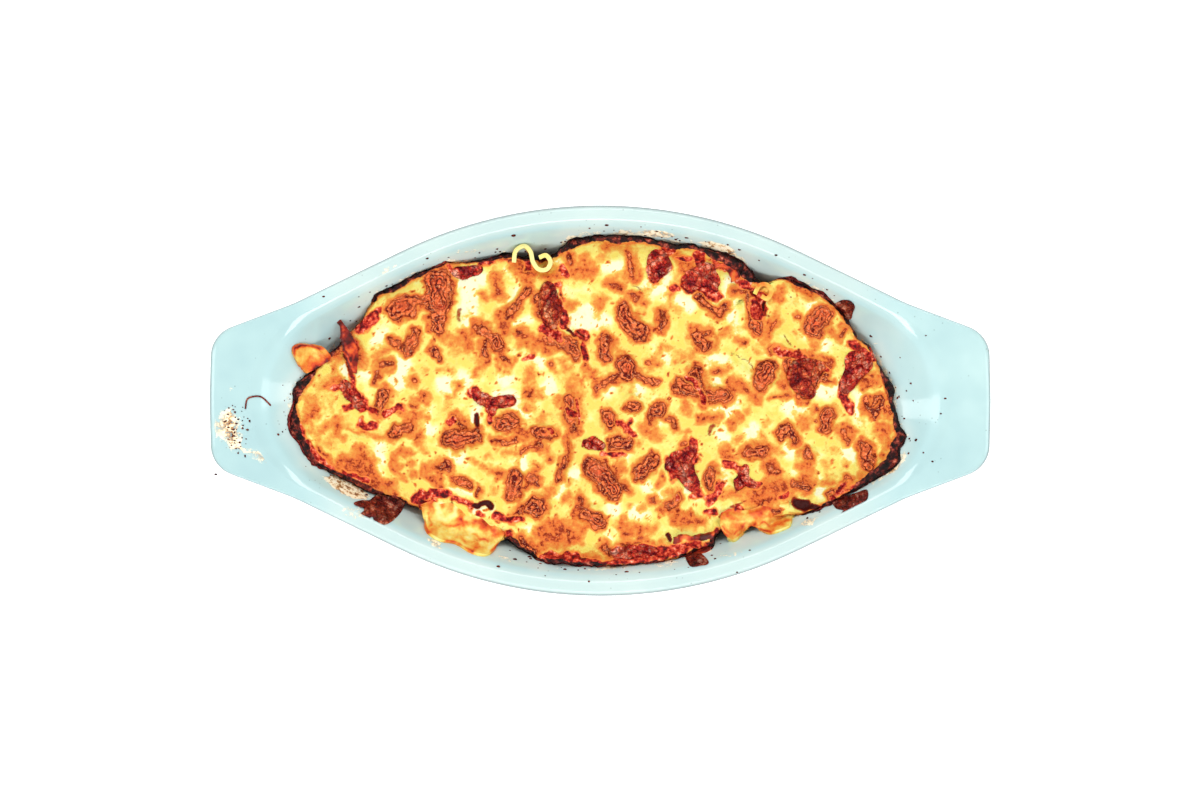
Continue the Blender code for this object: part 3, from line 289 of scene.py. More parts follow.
# Dark openings between folds, painted dark as painted shade: width, depth and the places that they
# run through.
SLITS = (
    (1.3, 1.2, (-15, 32.6), (-12.6, 30.4)), (1.3, 1.2, (-10.6, 32), (-7, 29.4)),
    (1.1, 0.6, (85, 30.4), (86.4, 28.4), (88.6, 26)), (1.7, 1.0, (92.4, 24.0), (92.6, 23.2)),
    (0.9, 0.6, (63, 20.6), (68.6, 18.2), (71, 15)), (1.5, 0.8, (61.6, 21.6)),
    (1.1, 0.8, (15, 53), (19.6, 51.4)), (2.6, 1.6, (-57.4, -7.0), (-57.2, -10.8)),
    (3.2, 0.8, (52, -12.6), (50.8, -15.2)), (1.6, 1.0, (-7.4, -18), (-7.6, -21)),
    (2.4, 1.4, (53, 53.4), (53.6, 51.4)), (2.0, 0.7, (-65.0, 42.4), (-66.0, 37.6)),
    (1.5, 1.4, (76, 46), (75.4, 42)), (1.4, 0.6, (75.4, 40.4), (77.8, 39.2)),
    (1.3, 1.0, (-118.6, 21.6), (-115.6, 12)),
    (2.8, 1.6, (-58.0, -49.2), (-55.4, -47.4), (-52.4, -47.6), (-50.6, -49.4)),
    (2.4, 1.2, (31.4, -62.4), (32.4, -64.8)), (1.6, 0.4, (61, -48.8), (65.4, -47.6)),
    (1.6, 0.8, (-82, -43.6), (-79.6, -43.6)), (1.4, 0.4, (88.6, 48)), (1.6, 0.5, (106.6, 16)),
    (5.4, 2.4, (91, -47.8), (95, -48.6)), (3.0, 1.6, (98, -49), (101, -50.4)),
    (2.0, 0.6, (62.6, -37), (62.8, -42)), (1.4, 0.8, (-69, -46), (-68.6, -53)),
    (2.4, 0.6, (97, 13), (96, 9.6)), (1.2, 0.6, (55, 7), (58.6, 5)),
)

# Dark red sauce and meat juice on the surface: how much, width and places.
REDS = (
    (1.0, 6, (-113, 34), (-106, 38.4)), (0.8, 4, (-106, 38), (-103, 41)),
    (0.85, 4, (-124, 5.4), (-118, 8)), (0.8, 6.4, (-117, 7), (-112, -1)),
    (1.0, 4.4, (-113.6, 2.4), (-109.6, -3.6)), (1.0, 2.4, (-118, -3.4), (-116, -2)),
    (1.0, 2.8, (-111, -9.6), (-107.6, -12.6), (-105, -11)),
    (1.0, 3.4, (-100, -6), (-97, -5), (-93, -3.4)), (0.8, 3, (-109, -3), (-104, -5.4)),
    (0.95, 2, (-117.6, 20), (-115.2, 12), (-115, 5)), (0.75, 5, (-117, 30), (-114, 24)),
    (0.9, 4, (-86, -45.6), (-79, -43), (-71, -44)), (0.7, 4, (-84, -48.4), (-78, -47)),
    (0.8, 3, (-68, -46), (-60, -50)), (0.9, 3, (-56, -54)), (0.95, 3.4, (-48.6, -54), (-45, -55)),
    (0.9, 3, (-68, -57), (-60, -58)), (0.7, 4, (-43, -56), (-37, -55)), (1.0, 4.6, (-43, -63)),
    (1.0, 4, (-20.4, 46), (-17.6, 41), (-17.2, 35.6)), (1.0, 4.4, (-27, 33.4), (-24.6, 32)),
    (0.9, 4, (-21, 31), (-19, 29)), (1.0, 2.2, (-22, 54), (-18.4, 53.4)),
    (0.7, 2, (-18.6, 51), (-16.6, 46.4)), (1.0, 3.6, (-10.6, 32), (-6, 29.6)),
    (1.0, 2.2, (-8, 27), (-7, 19)), (0.9, 3, (-35, 19), (-31.4, 21)),
    (0.9, 4.4, (-19, 62), (-16.4, 58.6)), (0.9, 2.6, (-34.4, 65), (-34, 61)),
    (1.0, 2.8, (-15, -4.4), (-12.6, -6)), (0.85, 1.6, (-10.6, 1), (-10.4, -12)),
    (1.0, 2.6, (-22.6, -14.4)), (1.0, 2.6, (-69.6, -11), (-67, -8)),
    (1.0, 3, (-60, 4), (-55, 2.4), (-50, -1.6)), (1.0, 3.6, (-52, -3.4), (-42, 0.4)),
    (0.9, 3, (-50, -4), (-51, -9)), (1.0, 2.2, (8, -10.6), (12, -14), (16, -17)),
    (0.95, 1.6, (12, -12), (14.4, -9.6)), (1.0, 1.8, (1, -24.6), (11, -26)),
    (1.0, 2, (40, 11.4), (45, 8), (48, 3), (49, -1)), (1.0, 4, (43, -20), (44.4, -27)),
    (0.9, 3, (43, -45)), (1.0, 3.4, (41.6, -38.6), (46.6, -44)), (0.95, 4, (56, -40), (50.4, -46)),
    (0.95, 3.4, (49.6, -52), (53, -51.6)), (1.0, 2.6, (69, -39), (74, -39)),
    (1.0, 2.6, (83.6, -44.6), (86, -42.4)), (0.95, 3, (64, -50), (68, -53)),
    (1.0, 3, (35.6, -45.4)), (0.9, 5, (113, 6), (112.6, 1), (115.6, -4.6)),
    (1.0, 4, (97.6, 13), (96, 8)), (0.9, 5, (92, 17), (90, 12)), (0.9, 4, (82, 23.6), (88, 22)),
    (0.95, 4, (91, 21), (94, 19)), (0.9, 3, (101, 13), (104, 14)), (1.0, 4.4, (108, -46.4)),
    (0.9, 3, (113, -39), (110.6, -43)), (0.9, 6, (30, 70), (34, 72)), (0.9, 4, (31, 63), (24, 57)),
    (1.0, 4, (45, 59), (51, 60.6)), (1.0, 5, (47, 52), (54, 48.6)), (0.7, 6, (40, 55), (42, 52)),
    (0.95, 3, (34, 51.6), (36, 53)), (0.95, 5, (46, 68), (47, 63)),
    (0.9, 3.4, (53, 63.6), (61, 62)), (1.0, 2.6, (62, 60), (63, 56)), (0.9, 4, (71, 51), (75, 49)),
    (1.0, 5, (75, 47), (74.6, 41)), (0.9, 3, (37, 66), (42, 66.6)), (0.9, 4, (65, 54), (69, 54)),
    (0.85, 4, (71, 47), (72, 40)), (0.95, 5, (24, -71), (38, -68.6), (45, -67.6)),
    (0.9, 5, (-26, -72.6), (-12, -73.6)), (0.8, 3, (-12, -75.4), (6, -75.6)),
    (1.0, 4, (26, -73), (30, -71.6)), (1.0, 5.4, (8, -70.4), (20, -69.6)),
    (0.9, 3.4, (4, -75), (22, -74)), (1.0, 3.6, (53.6, -60), (54, -67), (48, -69)),
    (0.85, 3, (62, -64.6)), (0.8, 4, (32, -27), (34, -35)), (0.9, 3, (58, -29), (64, -31)),
    (0.9, 3, (-140, -12), (-137.6, -20)), (1.0, 3, (-136, -21), (-131, -28)),
    (0.9, 2.4, (-129, -29), (-121, -33)), (0.95, 2.6, (-119, -33), (-109, -37.6)),
    (0.9, 2.4, (-131, 17.4), (-124, 24)), (0.6, 3, (-46, 66), (-41, 66.4)),
    (0.8, 3, (-70, 62), (-66, 57.6)), (0.8, 3, (-56, 64), (-50, 64.6)),
    (0.8, 4, (118, 26), (126, 20)), (0.6, 3, (122, -38), (114, -42)),
)

# Places where the cheese stayed white: width and the places that they run through.
WHITES = (
    (7, (-66, 55), (-55, 56.6)), (7, (-61, 51), (-61, 36)), (6, (-42, 60), (-34, 58)),
    (4, (-47, 43), (-38, 51)), (10, (-11, 38), (-5, 38)), (8, (1, 36)), (9, (-103, 29)),
    (6, (-109, 13)), (6, (-90, 19), (-94, 8)), (5, (-102, -18), (-103, -34)), (7, (-72, 7)),
    (6, (-60, 52)), (8, (30, 57)), (7, (33, 50), (40, 44)), (8, (3, 4)), (6, (18, 6)),
    (9, (29, 21)), (7, (52, 18), (57, 17)), (7, (55, 11)), (7, (55, -5), (61, -4)),
    (6, (57, -15), (57, -19)), (8, (71, -15)), (6, (26, -11)), (5, (57, -31), (58, -41)),
    (7, (60, 40), (64, 34)), (7, (88, -3), (96, -5)), (9, (102, 5), (107, 5)),
    (5, (120, 2), (121, -8)), (8, (116, -24)), (6, (88, -23)), (7, (94, -34), (104, -42)),
    (7, (100, 42)), (6, (96, 30), (104, 25)), (6, (-28, 17)), (8, (-24, 7)),
    (7, (-45, 2), (-36, -3)), (5, (-40, 36), (-33, 38)), (7, (-44, 10)), (6, (-80, -12)),
    (6, (-84, -4), (-80, -5)), (5, (-66, -26)), (7, (-36, -28)), (6, (-21, -42), (-12, -34)),
    (6, (-34, -62)), (7, (6, -50)), (8, (18, -52)), (7, (22, -40)), (6, (11, -28)), (6, (4, -64)),
    (5, (29, -44), (40, -42)), (5, (-68, -41), (-60, -43)), (7, (10, 61), (4, 62)),
    (6, (22, 52), (28, 53)), (5, (-22, 65)), (5, (61, 56), (60, 46)), (6, (76, 26)),
    (6, (-120, 15)), (6, (-64, 10)), (4, (-57, -3), (-59, -10)), (7, (-75, -53)),
    (4, (-58, -52), (-52, -51)),
)

# Places where the burnt edge is dark red: width and the places that they run through.
MAROONS = (
    (9, (-144, 0), (-146, -9), (-139, -24), (-131, -31)),
    (8, (-135, 15), (-124, 25), (-117, 33), (-108, 44)),
    (8, (-26, -76), (0, -79), (30, -76), (52, -70)), (7, (-76, 65), (-52, 67)),
    (7, (100, 52), (112, 43), (120, 31)), (6, (84, 58), (92, 57)), (8, (103, -51), (118, -46)),
    (6, (-96, -47), (-88, -49)), (5, (66, 62), (72, 57)),
)

# How wide the burnt black edge is, going round: x, y, width.
BURNT_EDGE = (
    (-107, 45, 0.9), (-101, 52, 2.6), (-97, 56, 3.4), (-92, 58, 2.0), (-87, 61, 3.0),
    (-80, 63, 1.6), (-70, 65, 1.2), (-60, 64.5, 1.2), (-52, 66, 1.7), (-44, 69, 3.3),
    (-39, 68, 2.5), (-30, 66, 1.4), (-21, 69, 2.4), (-15, 73, 3.6), (-8, 76, 3.0), (0, 77, 2.4),
    (8, 78, 4.2), (18, 76, 3.2), (28, 74, 2.4), (38, 73, 3.0), (45, 70, 2.2), (52, 69, 4.4),
    (60, 66, 5.0), (66, 62, 5.6), (71, 57, 4.0), (76, 54.5, 0.8), (84, 57.5, 1.8), (92, 56, 2.8),
    (100, 52, 2.6), (106, 48, 2.0), (112, 42, 1.6), (118, 32, 1.5), (121, 28, 0.8), (126, 27, 2.2),
    (129, 20, 1.0), (132, 12, 2.6), (136, 5, 4.6), (137, 0, 2.5), (138, -6, 1.6), (141, -14, 4.5),
    (141, -20, 5.4), (138, -28, 6.0), (133, -36, 6.4), (126, -42, 4.0), (118, -47, 2.0),
    (108, -50, 2.6), (100, -51, 1.5), (90, -55, 1.0), (80, -56, 0.7), (60, -60, 0.8),
    (55, -64, 2.4), (50, -69, 2.4), (42, -71, 2.0), (36, -72, 1.2), (25, -76, 1.4), (15, -78, 1.6),
    (0, -78.5, 1.8), (-12, -77.5, 1.8), (-22, -76.5, 2.6), (-30, -74, 1.8), (-37, -69.5, 1.6),
    (-43, -65, 3.6), (-50, -66, 0.9), (-60, -65, 0.6), (-75, -58, 0.6), (-85, -51, 0.9),
    (-93, -47, 2.0), (-104, -43.5, 3.4), (-112, -40, 3.4), (-120, -35.5, 3.2), (-127, -31.5, 2.6),
    (-132, -30, 3.6), (-137, -24, 3.6), (-141, -17, 5.0), (-145, -9, 5.4), (-143.5, -2, 2.0),
    (-142, 4, 5.0), (-139, 9, 5.4), (-133, 15, 2.4), (-128, 20, 2.6), (-122, 26, 2.2),
    (-117, 32, 0.9), (-111, 38, 0.9),
)


class Piece:
    """Sauce or meat, seen from above: middle, size, turn, rise and lobes of its outline."""

    def __init__(self, name, middle, size, turn, rise, lobes=()):
        self.name = name
        self.middle = middle
        self.size = size
        self.turn = math.radians(turn)
        self.rise = rise
        self.lobes = lobes


SAUCES = (
    Piece("sauce_top_left", (-62, 60), (15, 7), 8, 0.4),
    Piece("sauce_top_middle", (27, 63), (12, 13), 0, 1.0, ((80, 2.5), (250, 1.5))),
    Piece("tomato_top_right", (47.6, 56.7), (17, 12), -10, 1.6, ((60, 2.2), (200, 2))),
    Piece("sauce_right", (120, 17), (14, 13), 20, 1.2, ((240, 9), (60, 3))),
    Piece("meat_right", (94, 12), (17, 15), 60, 2.0, ((20, 3), (290, 4))),
    Piece("meat_ridge", (-23, 43), (21, 10), 96, 1.8, ((100, 2),)),
    Piece("sauce_middle_left", (-50, -1), (14, 6), -5, 0.3, ((10, 5), (150, 4), (270, 3))),
    Piece("sauce_middle", (-3, -20), (11, 6), -12, 0.4),
    Piece("sauce_lower_right", (38, -30), (15, 11), -60, 0.8, ((60, 5), (-60, 7), (190, 3))),
    Piece("sauce_lower_far", (66, -36), (13, 6), 70, 0.6, ((-30, 4),)),
    Piece("sauce_left", (-114, 1), (15, 6), -50, 0.5, ((120, 4),)),
    Piece("sauce_bottom", (15, -70), (24, 6), 2, 0.6),
)

# Pasta edges that stand up: name, line, height of their top and how brown.
RUFFLES = (
    ("pasta_curl_top", (
        (-40.0, 64.0), (-39.4, 69.0), (-35.6, 71.4), (-32.6, 68.6), (-31.4, 64.2),
        (-28.6, 60.8), (-24.6, 61.0), (-22.8, 64.4), (-24.8, 67.6), (-28.0, 66.6)), 45.5, 0.92),
    ("pasta_curl_right", (
        (71.6, 49.4), (73.4, 53.0), (77.0, 53.4), (79.4, 50.6), (77.6, 47.6),
        (75.0, 48.8)), 44.5, 1.32),
)

# Pasta sheets: name, outer border, inner border, heights at both, waves, how high they are,
# how far the inner border dips under the cheese and how much browner than most.
SHEETS = (
    ("pasta_sheet_lower_left",
     ((-82.5, -55), (-79.5, -60.5), (-73.5, -64), (-66.5, -65.5), (-59, -69.5), (-51.5, -70.5),
      (-46, -65.5)),
     ((-83, -48), (-76, -46), (-68, -48), (-62, -52), (-56, -54), (-49, -58), (-44, -61)),
     (42.0, 43.5), 3, 1.3, 2.4, -0.06),
    ("pasta_sheet_lower_right",
     ((55, -59.5), (61, -64.5), (66, -61.5), (70, -58.3), (74, -59.6), (79, -60.8), (90, -56.5)),
     ((56, -52), (61, -50), (66, -51), (71, -50), (76, -48), (82, -46), (87, -46)),
     (42.0, 44.0), 2, 1.5, 2.4, -0.06),
    ("pasta_fold_bottom",
     ((33, -70.5), (38, -71), (43, -70), (48, -69.4), (52, -67.5)),
     ((34, -64), (38, -62.5), (43, -63), (48, -62.5), (53, -61.5)),
     (42.0, 44.5), 1, 1.0, 0.0, 0.18),
    ("pasta_arch_top",
     ((52, 65.5), (56, 66), (60, 64.5), (63.5, 61), (65.5, 57)),
     ((53, 61.5), (56, 62), (58.5, 61), (60.5, 58.5), (61.5, 55)),
     (45.0, 46.6), 1, 0.6, 0.0, 0.22),
    ("pasta_corner_left",
     ((-129.5, 24.0), (-134, 25.4), (-138, 25.6), (-141, 24), (-141.4, 20)),
     ((-125.6, 18.4), (-128.2, 17.0), (-131.0, 15.4), (-133.6, 13.8), (-136.2, 12.6)),
     (44.0, 42.0), 0, 0.0, 0.0, 0.10),
    ("pasta_flap_left",
     ((-120.8, 36.4), (-120.2, 29), (-118.4, 21), (-115.4, 12.6)),
     ((-119.4, 36.4), (-115.4, 30.6), (-112.4, 23), (-112.8, 12.6)),
     (43.6, 43.0), 1, 0.5, 0.0, 0.34),
)

# Burnt drips as they ran down the glaze: name, middle, rise and outline.
DRIPS = (
    ("drip_lower_left", (-102.5, -50.5), 2.8, (
        (-90.2, -46.8), (-95, -44.4), (-101.4, -42.4), (-105, -44.4), (-107, -46.0),
        (-110.4, -46.0), (-113.6, -47.0), (-112.6, -48.6), (-109.4, -49.2), (-109.0, -50.6),
        (-111.0, -52.6), (-110.2, -54.6), (-107.6, -54.8), (-105.0, -53.6), (-103.8, -56.0),
        (-99.6, -57.2), (-96.0, -55.6), (-92.6, -52.0))),
    ("drip_bottom", (45.5, -74.3), 1.7, (
        (39.0, -71.4), (43.0, -70.8), (46.6, -70.6), (50.0, -74.0), (49.0, -75.6),
        (46.4, -76.0), (42.2, -76.6), (40.2, -74.6))),
    ("drip_lower_right", (115.7, -47.2), 1.2, (
        (106.4, -45.4), (112.0, -44.4), (118.0, -42.6), (123.0, -41.0), (123.4, -44.6),
        (121.4, -47.6), (122.0, -50.6), (120.6, -53.4), (117.4, -54.4), (114.0, -53.0),
        (112.0, -50.6), (108.6, -49.6))),
    ("burnt_bubble", (113.6, 43.8), 3.0, (
        (108.6, 44.8), (111.6, 46.4), (115.5, 46.0), (117.6, 43.4), (117.0, 40.4),
        (116.4, 37.8), (113.8, 37.6), (112.6, 40.4), (110.0, 42.4))),
)

# Dark and pale marks on the sheets of pasta: how much, width and the places they run through.
PASTA_DARKS = (
    (1.1, 3.0, (-87, -45), (-81, -43.4), (-76, -45.4)),
    (1.1, 2.2, (-59, -48.4), (-54.6, -46.8), (-50, -48.6)),
    (0.9, 1.8, (-73, -56.2), (-67, -57.8), (-62, -57.0)), (1.0, 2.6, (-48.8, -54.4), (-46, -56)),
    (0.85, 1.2, (-80, -52), (-79, -57)), (0.8, 1.2, (-66, -62.4), (-60, -66.6)),
    (0.9, 1.4, (-58, -62), (-52, -66)), (0.75, 2.4, (-54, -59), (-49, -61.6)),
    (1.1, 2.0, (62.6, -47.6), (64, -51)), (0.7, 3.4, (58, -54.6), (66, -55)),
    (0.75, 3.0, (74, -53.6), (84, -51)),
    (0.95, 1.1, (57.4, -58), (61, -61.6), (66, -58.4), (71, -56.6)),
    (0.95, 1.1, (71, -56.6), (76, -57.6), (82, -57.4), (88, -54.6)),
    (1.0, 1.3, (70.4, -60), (71, -56)), (0.9, 1.4, (-120.6, 35), (-119, 27), (-116, 18)),
    (0.9, 1.2, (-119, 35.6), (-115, 30), (-112.6, 24)),
    (1.0, 3.2, (36, -68.6), (44, -68.2), (50, -66.6)), (0.9, 2.0, (58, 65), (64, 60)),
)
PASTA_PALES = (
    (0.9, 2.6, (-76.6, -49), (-75.6, -53.6), (-71.4, -55), (-67.6, -52.6), (-67.4, -48.6)),
    (0.8, 3.4, (-61, -55), (-56, -52), (-51, -54)), (0.7, 2.4, (-78, -62), (-73, -64.6)),
    (0.7, 2.4, (-57, -70), (-51, -70.6)),
    (0.8, 2.0, (56, -61), (59.6, -64.4), (64, -63.6), (68, -60)),
    (0.8, 2.0, (72.6, -60.4), (79, -61), (85, -58.8), (90, -57)), (0.6, 3.4, (80, -48), (86, -49)),
)

# Thick black chunks on the burnt edge: x, y, size, rise.
CHUNKS = (
    (135, 8, 6, 1.6), (140, -17, 6, 2.0), (138, -30, 7, 1.8), (131, -38, 6, 1.6),
    (-140, 8, 6, 1.5), (-141, -13, 8, 1.8), (-137, -25, 7, 1.4), (-122, -35, 7, 1.5),
    (-110, -42, 7, 1.4), (64, 65, 8, 1.2), (50, 70, 7, 1.0), (30, 74, 7, 0.8), (10, 78, 7, 1.0),
    (-12, 75, 7, 1.0), (-50, 67, 8, 0.8), (-88, 60, 7, 1.2), (-101, 52, 6, 1.2), (100, 52, 7, 0.8),
    (118, 32, 6, 0.8), (-20, -76, 8, 0.8), (-38, -68, 6, 1.0), (6, -78, 7, 0.7),
    (-90, -48, 5, 0.8), (70, 60, 5, 1.2),
)

# Dried splashes on the dish: x, y, length, width, turn, amount.
FILMS = (
    (-170, -14, 26, 16, -75, 0.72), (-160, -25, 20, 6, -35, 0.62), (-170, 5, 14, 4, -50, 0.45),
    (-117.5, -40.2, 27, 8, -29, 0.80), (-76, -66, 12, 4, -30, 0.58), (26, 77, 22, 4, -4, 0.62),
    (55, 70.4, 22, 6, -18, 0.72), (96, -56, 12, 4, 25, 0.56), (-98, 60, 14, 3, 32, 0.50),
    (-60, 69, 20, 3, 3, 0.46), (-113, -52, 16, 8, -20, 0.50), (60, -71, 20, 3, 10, 0.45),
    (-44, -73, 12, 3, -20, 0.48), (128, 26, 6, 3, 60, 0.5),
)

# Larger specks that stand alone on the dish: x, y, size.
LONE_SPECKS = (
    (-40, 76.3, 1.2), (3, 81, 0.8), (-127.5, 48, 0.7), (-126, 29, 0.7), (-39.5, -73.5, 0.9),
    (-47, -76.5, 0.7), (69, -69, 0.6), (53, -73, 0.7), (63, -79, 0.5), (144, 8, 0.6),
    (145, 0, 0.5), (159, 1, 0.5), (157, -6, 0.5), (153, -28, 0.5), (149, -24, 0.5), (81, 67, 0.6),
    (126, 30, 0.9), (150, 30, 0.5), (139, 20, 0.5), (144, 8, 0.5),
)

# The dried thread of cheese on the left grip.
THREAD = ((-163.4, -3.8), (-162.5, 0.7), (-158.9, 2.0), (-155.7, 1.4), (-152.1, -2.2))
THREAD_RADIUS = 0.4


# ------------------------------------------------------------------ outlines and heights
def rounded_outline(quarter):
    """Closed outline from one quarter's corners (x, y, fillet radius), first on +X, last on +Y."""
    left = [(-x, y, r) for x, y, r in reversed(quarter[:-1])]
    upper = list(quarter) + left
    lower = [(x, -y, r) for x, y, r in reversed(upper[1:-1])]
    corners = upper + lower
    points = []
    for index, (x, y, radius) in enumerate(corners):
        corner = np.array((x, y))
        before = np.array(corners[index - 1][:2]) - corner
        after = np.array(corners[(index + 1) % len(corners)][:2]) - corner
        before /= np.linalg.norm(before)
        after /= np.linalg.norm(after)
        half = 0.5 * math.acos(float(np.clip(before @ after, -1.0, 1.0)))
        reach = radius / math.tan(half)
        middle = (before + after) / np.linalg.norm(before + after) * radius / math.sin(half)
        start = before * reach - middle
        finish = after * reach - middle
        turn = math.atan2(start[0] * finish[1] - start[1] * finish[0], float(start @ finish))
        for step in range(ARC_STEPS + 1):
            angle = turn * step / ARC_STEPS
            cos, sin = math.cos(angle), math.sin(angle)
            arm = (start[0] * cos - start[1] * sin, start[0] * sin + start[1] * cos)
            points.append(corner + middle + arm)
    return np.array(points)


def polar(points):
    """Angles and distances round an outline, whose straight lines get points of their own."""
    shares = np.linspace(0.0, 1.0, SIDE_POINTS, endpoint=False)[:, None, None]
    points = (points + (np.roll(points, -1, axis=0) - points) * shares).reshape(-1, 2)
    angles = np.arctan2(points[:, 1], points[:, 0])
    order = np.argsort(angles)
    return angles[order], np.hypot(points[:, 0], points[:, 1])[order]


def rim_outline():
    """The dish from above: straight sides rounded where they meet, and a grip at each end."""
    top = WIDTH / 2 + SIDE_PEAK
    flare = (FLARE_X, top - SIDE_SLOPE * FLARE_X)
    corner_x = LENGTH / 2 - 0.6
    corner = (corner_x, flare[1] - GRIP_SLOPE * (corner_x - flare[0]))
    return polar(rounded_outline((
        (LENGTH / 2 + 0.2, 0.0, GRIP_END_RADIUS), (*corner, GRIP_CORNER_RADIUS),
        (*flare, FLARE_RADIUS), (0.0, top, SIDE_RADIUS))))


def mouth_outline():
    """Where the wall meets the rim: straight sides rounded at both ends and in the middle."""
    side = math.atan(SIDE_SLOPE)
    tip = MOUTH_LENGTH / 2 + MOUTH_TIP_RADIUS * (1 / math.sin(side) - 1)
    return polar(rounded_outline((
        (tip, 0.0, MOUTH_TIP_RADIUS), (0.0, SIDE_SLOPE * tip, MOUTH_SIDE_RADIUS))))


RIM = rim_outline()
MOUTH = mouth_outline()
EDGE = polar(np.array(FOOD_EDGE, dtype=float))


def burnt_round():
    """The burnt edge's width against the angle round the middle of the dish."""
    x, y, width = np.array(BURNT_EDGE).T
    angles = np.arctan2(y, x)
    order = np.argsort(angles)
    return angles[order], width[order]


BURNT_ROUND = burnt_round()
DARK_BROWNS = [stroke for stroke in BROWNS if stroke[0] >= 0.7]
LIGHT_BROWNS = [stroke for stroke in BROWNS if stroke[0] < 0.7]


def distance_to(outline, angle):
    return np.interp(angle, *outline, period=2 * math.pi)


def floor_distance(angle):
    along = np.abs(np.cos(angle) / (FLOOR_LENGTH / 2)) ** FLOOR_POWER
    across = np.abs(np.sin(angle) / (FLOOR_WIDTH / 2)) ** FLOOR_POWER
    return (along + across) ** (-1 / FLOOR_POWER)


def smooth_profile(points, steps=8):
    """More points on a smooth curve through the given ones."""
    spots = np.array(points, dtype=float)
    spots = np.vstack((2 * spots[0] - spots[1], spots, 2 * spots[-1] - spots[-2]))
    line = []
    for a, b, c, d in zip(spots, spots[1:], spots[2:], spots[3:]):
        for t in np.linspace(0.0, 1.0, steps, endpoint=False):
            line.append(0.5 * (2 * b + (c - a) * t + (2 * a - 5 * b + 4 * c - d) * t ** 2
                               + (3 * b - a - 3 * c + d) * t ** 3))
    line.append(spots[-2])
    return np.array(line)


FINE_PROFILE = smooth_profile(WALL_PROFILE)
WALL_SHARE, WALL_HEIGHT = FINE_PROFILE[:, 0], FINE_PROFILE[:, 1]


def wall_distance(angle, height):
    share = np.interp(height, WALL_HEIGHT[::-1], WALL_SHARE[::-1])
    mouth = distance_to(MOUTH, angle)
    return mouth + (floor_distance(angle) - mouth) * share


def wall_height(x, y):
    angle = np.arctan2(y, x)
    mouth = distance_to(MOUTH, angle)
    share = (mouth - np.hypot(x, y)) / (mouth - floor_distance(angle))
    return np.interp(share, WALL_SHARE, WALL_HEIGHT)


def piece_bottom(x, y):
    """Underside of what lies in the cheese: level, but clear of the dish's wall."""
    return np.maximum(PIECE_BOTTOM, wall_height(x, y) + PIECE_CLEAR)


def food_distance(angle):
    limit = wall_distance(angle, EDGE_HIGH) - WALL_GAP
    return np.minimum(distance_to(EDGE, angle), limit)


def edge_height(angle):
    """Height of the burnt edge: that of the wall beside it, evened out round the dish."""
    total = 0.0
    spread = np.radians((-6.0, -3.0, 0.0, 3.0, 6.0))
    for shift in spread:
        reach = food_distance(angle + shift) + WALL_GAP
        spot = wall_height(*spot_at(angle + shift, reach))
        total = total + np.clip(spot, EDGE_LOW, EDGE_HIGH)
    return total / len(spread)


def crust_distance(angle):
    """How far out the cheese reaches: to the burnt edge, whose width wavers."""
    total = 0.0
    spread = np.radians((-3.0, -1.0, 1.0, 3.0))
    for shift in spread:
        total = total + food_distance(angle + shift)
    mean = total / len(spread)
    bare = BURNT_WIDTH + 0.9 * np.sin(7 * angle + 1.0) + 0.6 * np.sin(17 * angle)
    return np.minimum(mean, food_distance(angle)) - bare


def crust_foot(angle):
    return np.minimum(crust_distance(angle), wall_distance(angle, FILLING_TOP) - WALL_GAP - 1.8)


def oval_angle(turn):
    return np.arctan2(WIDTH * np.sin(turn), LENGTH * np.cos(turn))


def spot_at(angle, reach):
    return reach * np.cos(angle), reach * np.sin(angle)


def smooth_step(low, high, value):
    """0 below low, 1 above high, smooth between them."""
    share = np.clip((value - low) / (high - low), 0.0, 1.0)
    return share * share * (3 - 2 * share)


def fade(low, high, value):
    """1 below low, 0 above high, smooth between them."""
    return 1 - smooth_step(low, high, value)


def bell(far, width):
    """1 in the middle of a smooth swell, nearly 0 at twice its width."""
    return np.exp(-((far / width) ** 2))


LATTICE = np.random.default_rng(11).uniform(-1.0, 1.0, (LATTICE_SIZE, LATTICE_SIZE))
JITTER = np.random.default_rng(23).uniform(0.0, 1.0, (LATTICE_SIZE, LATTICE_SIZE, 3))


def waves(x, y, size):
    """Smooth uneven field between about -1 and 1 whose swells are about size apart."""
    gx, gy = np.asarray(x) / size, np.asarray(y) / size
    cell_x, cell_y = np.floor(gx).astype(int), np.floor(gy).astype(int)
    fx, fy = gx - cell_x, gy - cell_y
    fx, fy = fx * fx * (3 - 2 * fx), fy * fy * (3 - 2 * fy)
    corner = [[LATTICE[(cell_x + i) % LATTICE_SIZE, (cell_y + j) % LATTICE_SIZE]
               for j in (0, 1)] for i in (0, 1)]
    low = corner[0][0] * (1 - fx) + corner[1][0] * fx
    high = corner[0][1] * (1 - fx) + corner[1][1] * fx
    return low * (1 - fy) + high * fy


def rough(x, y, size, layers=3):
    """Sum of turned swells, each half the size of the one before."""
    total, weight, share = 0.0, 1.0, 0.0
    for layer in range(layers):
        cos, sin = math.cos(0.7 + 1.3 * layer), math.sin(0.7 + 1.3 * layer)
        total = total + weight * waves(x * cos - y * sin + 31 * layer, x * sin + y * cos, size)
        share += weight
        weight *= 0.55
        size *= 0.5
    return total / share


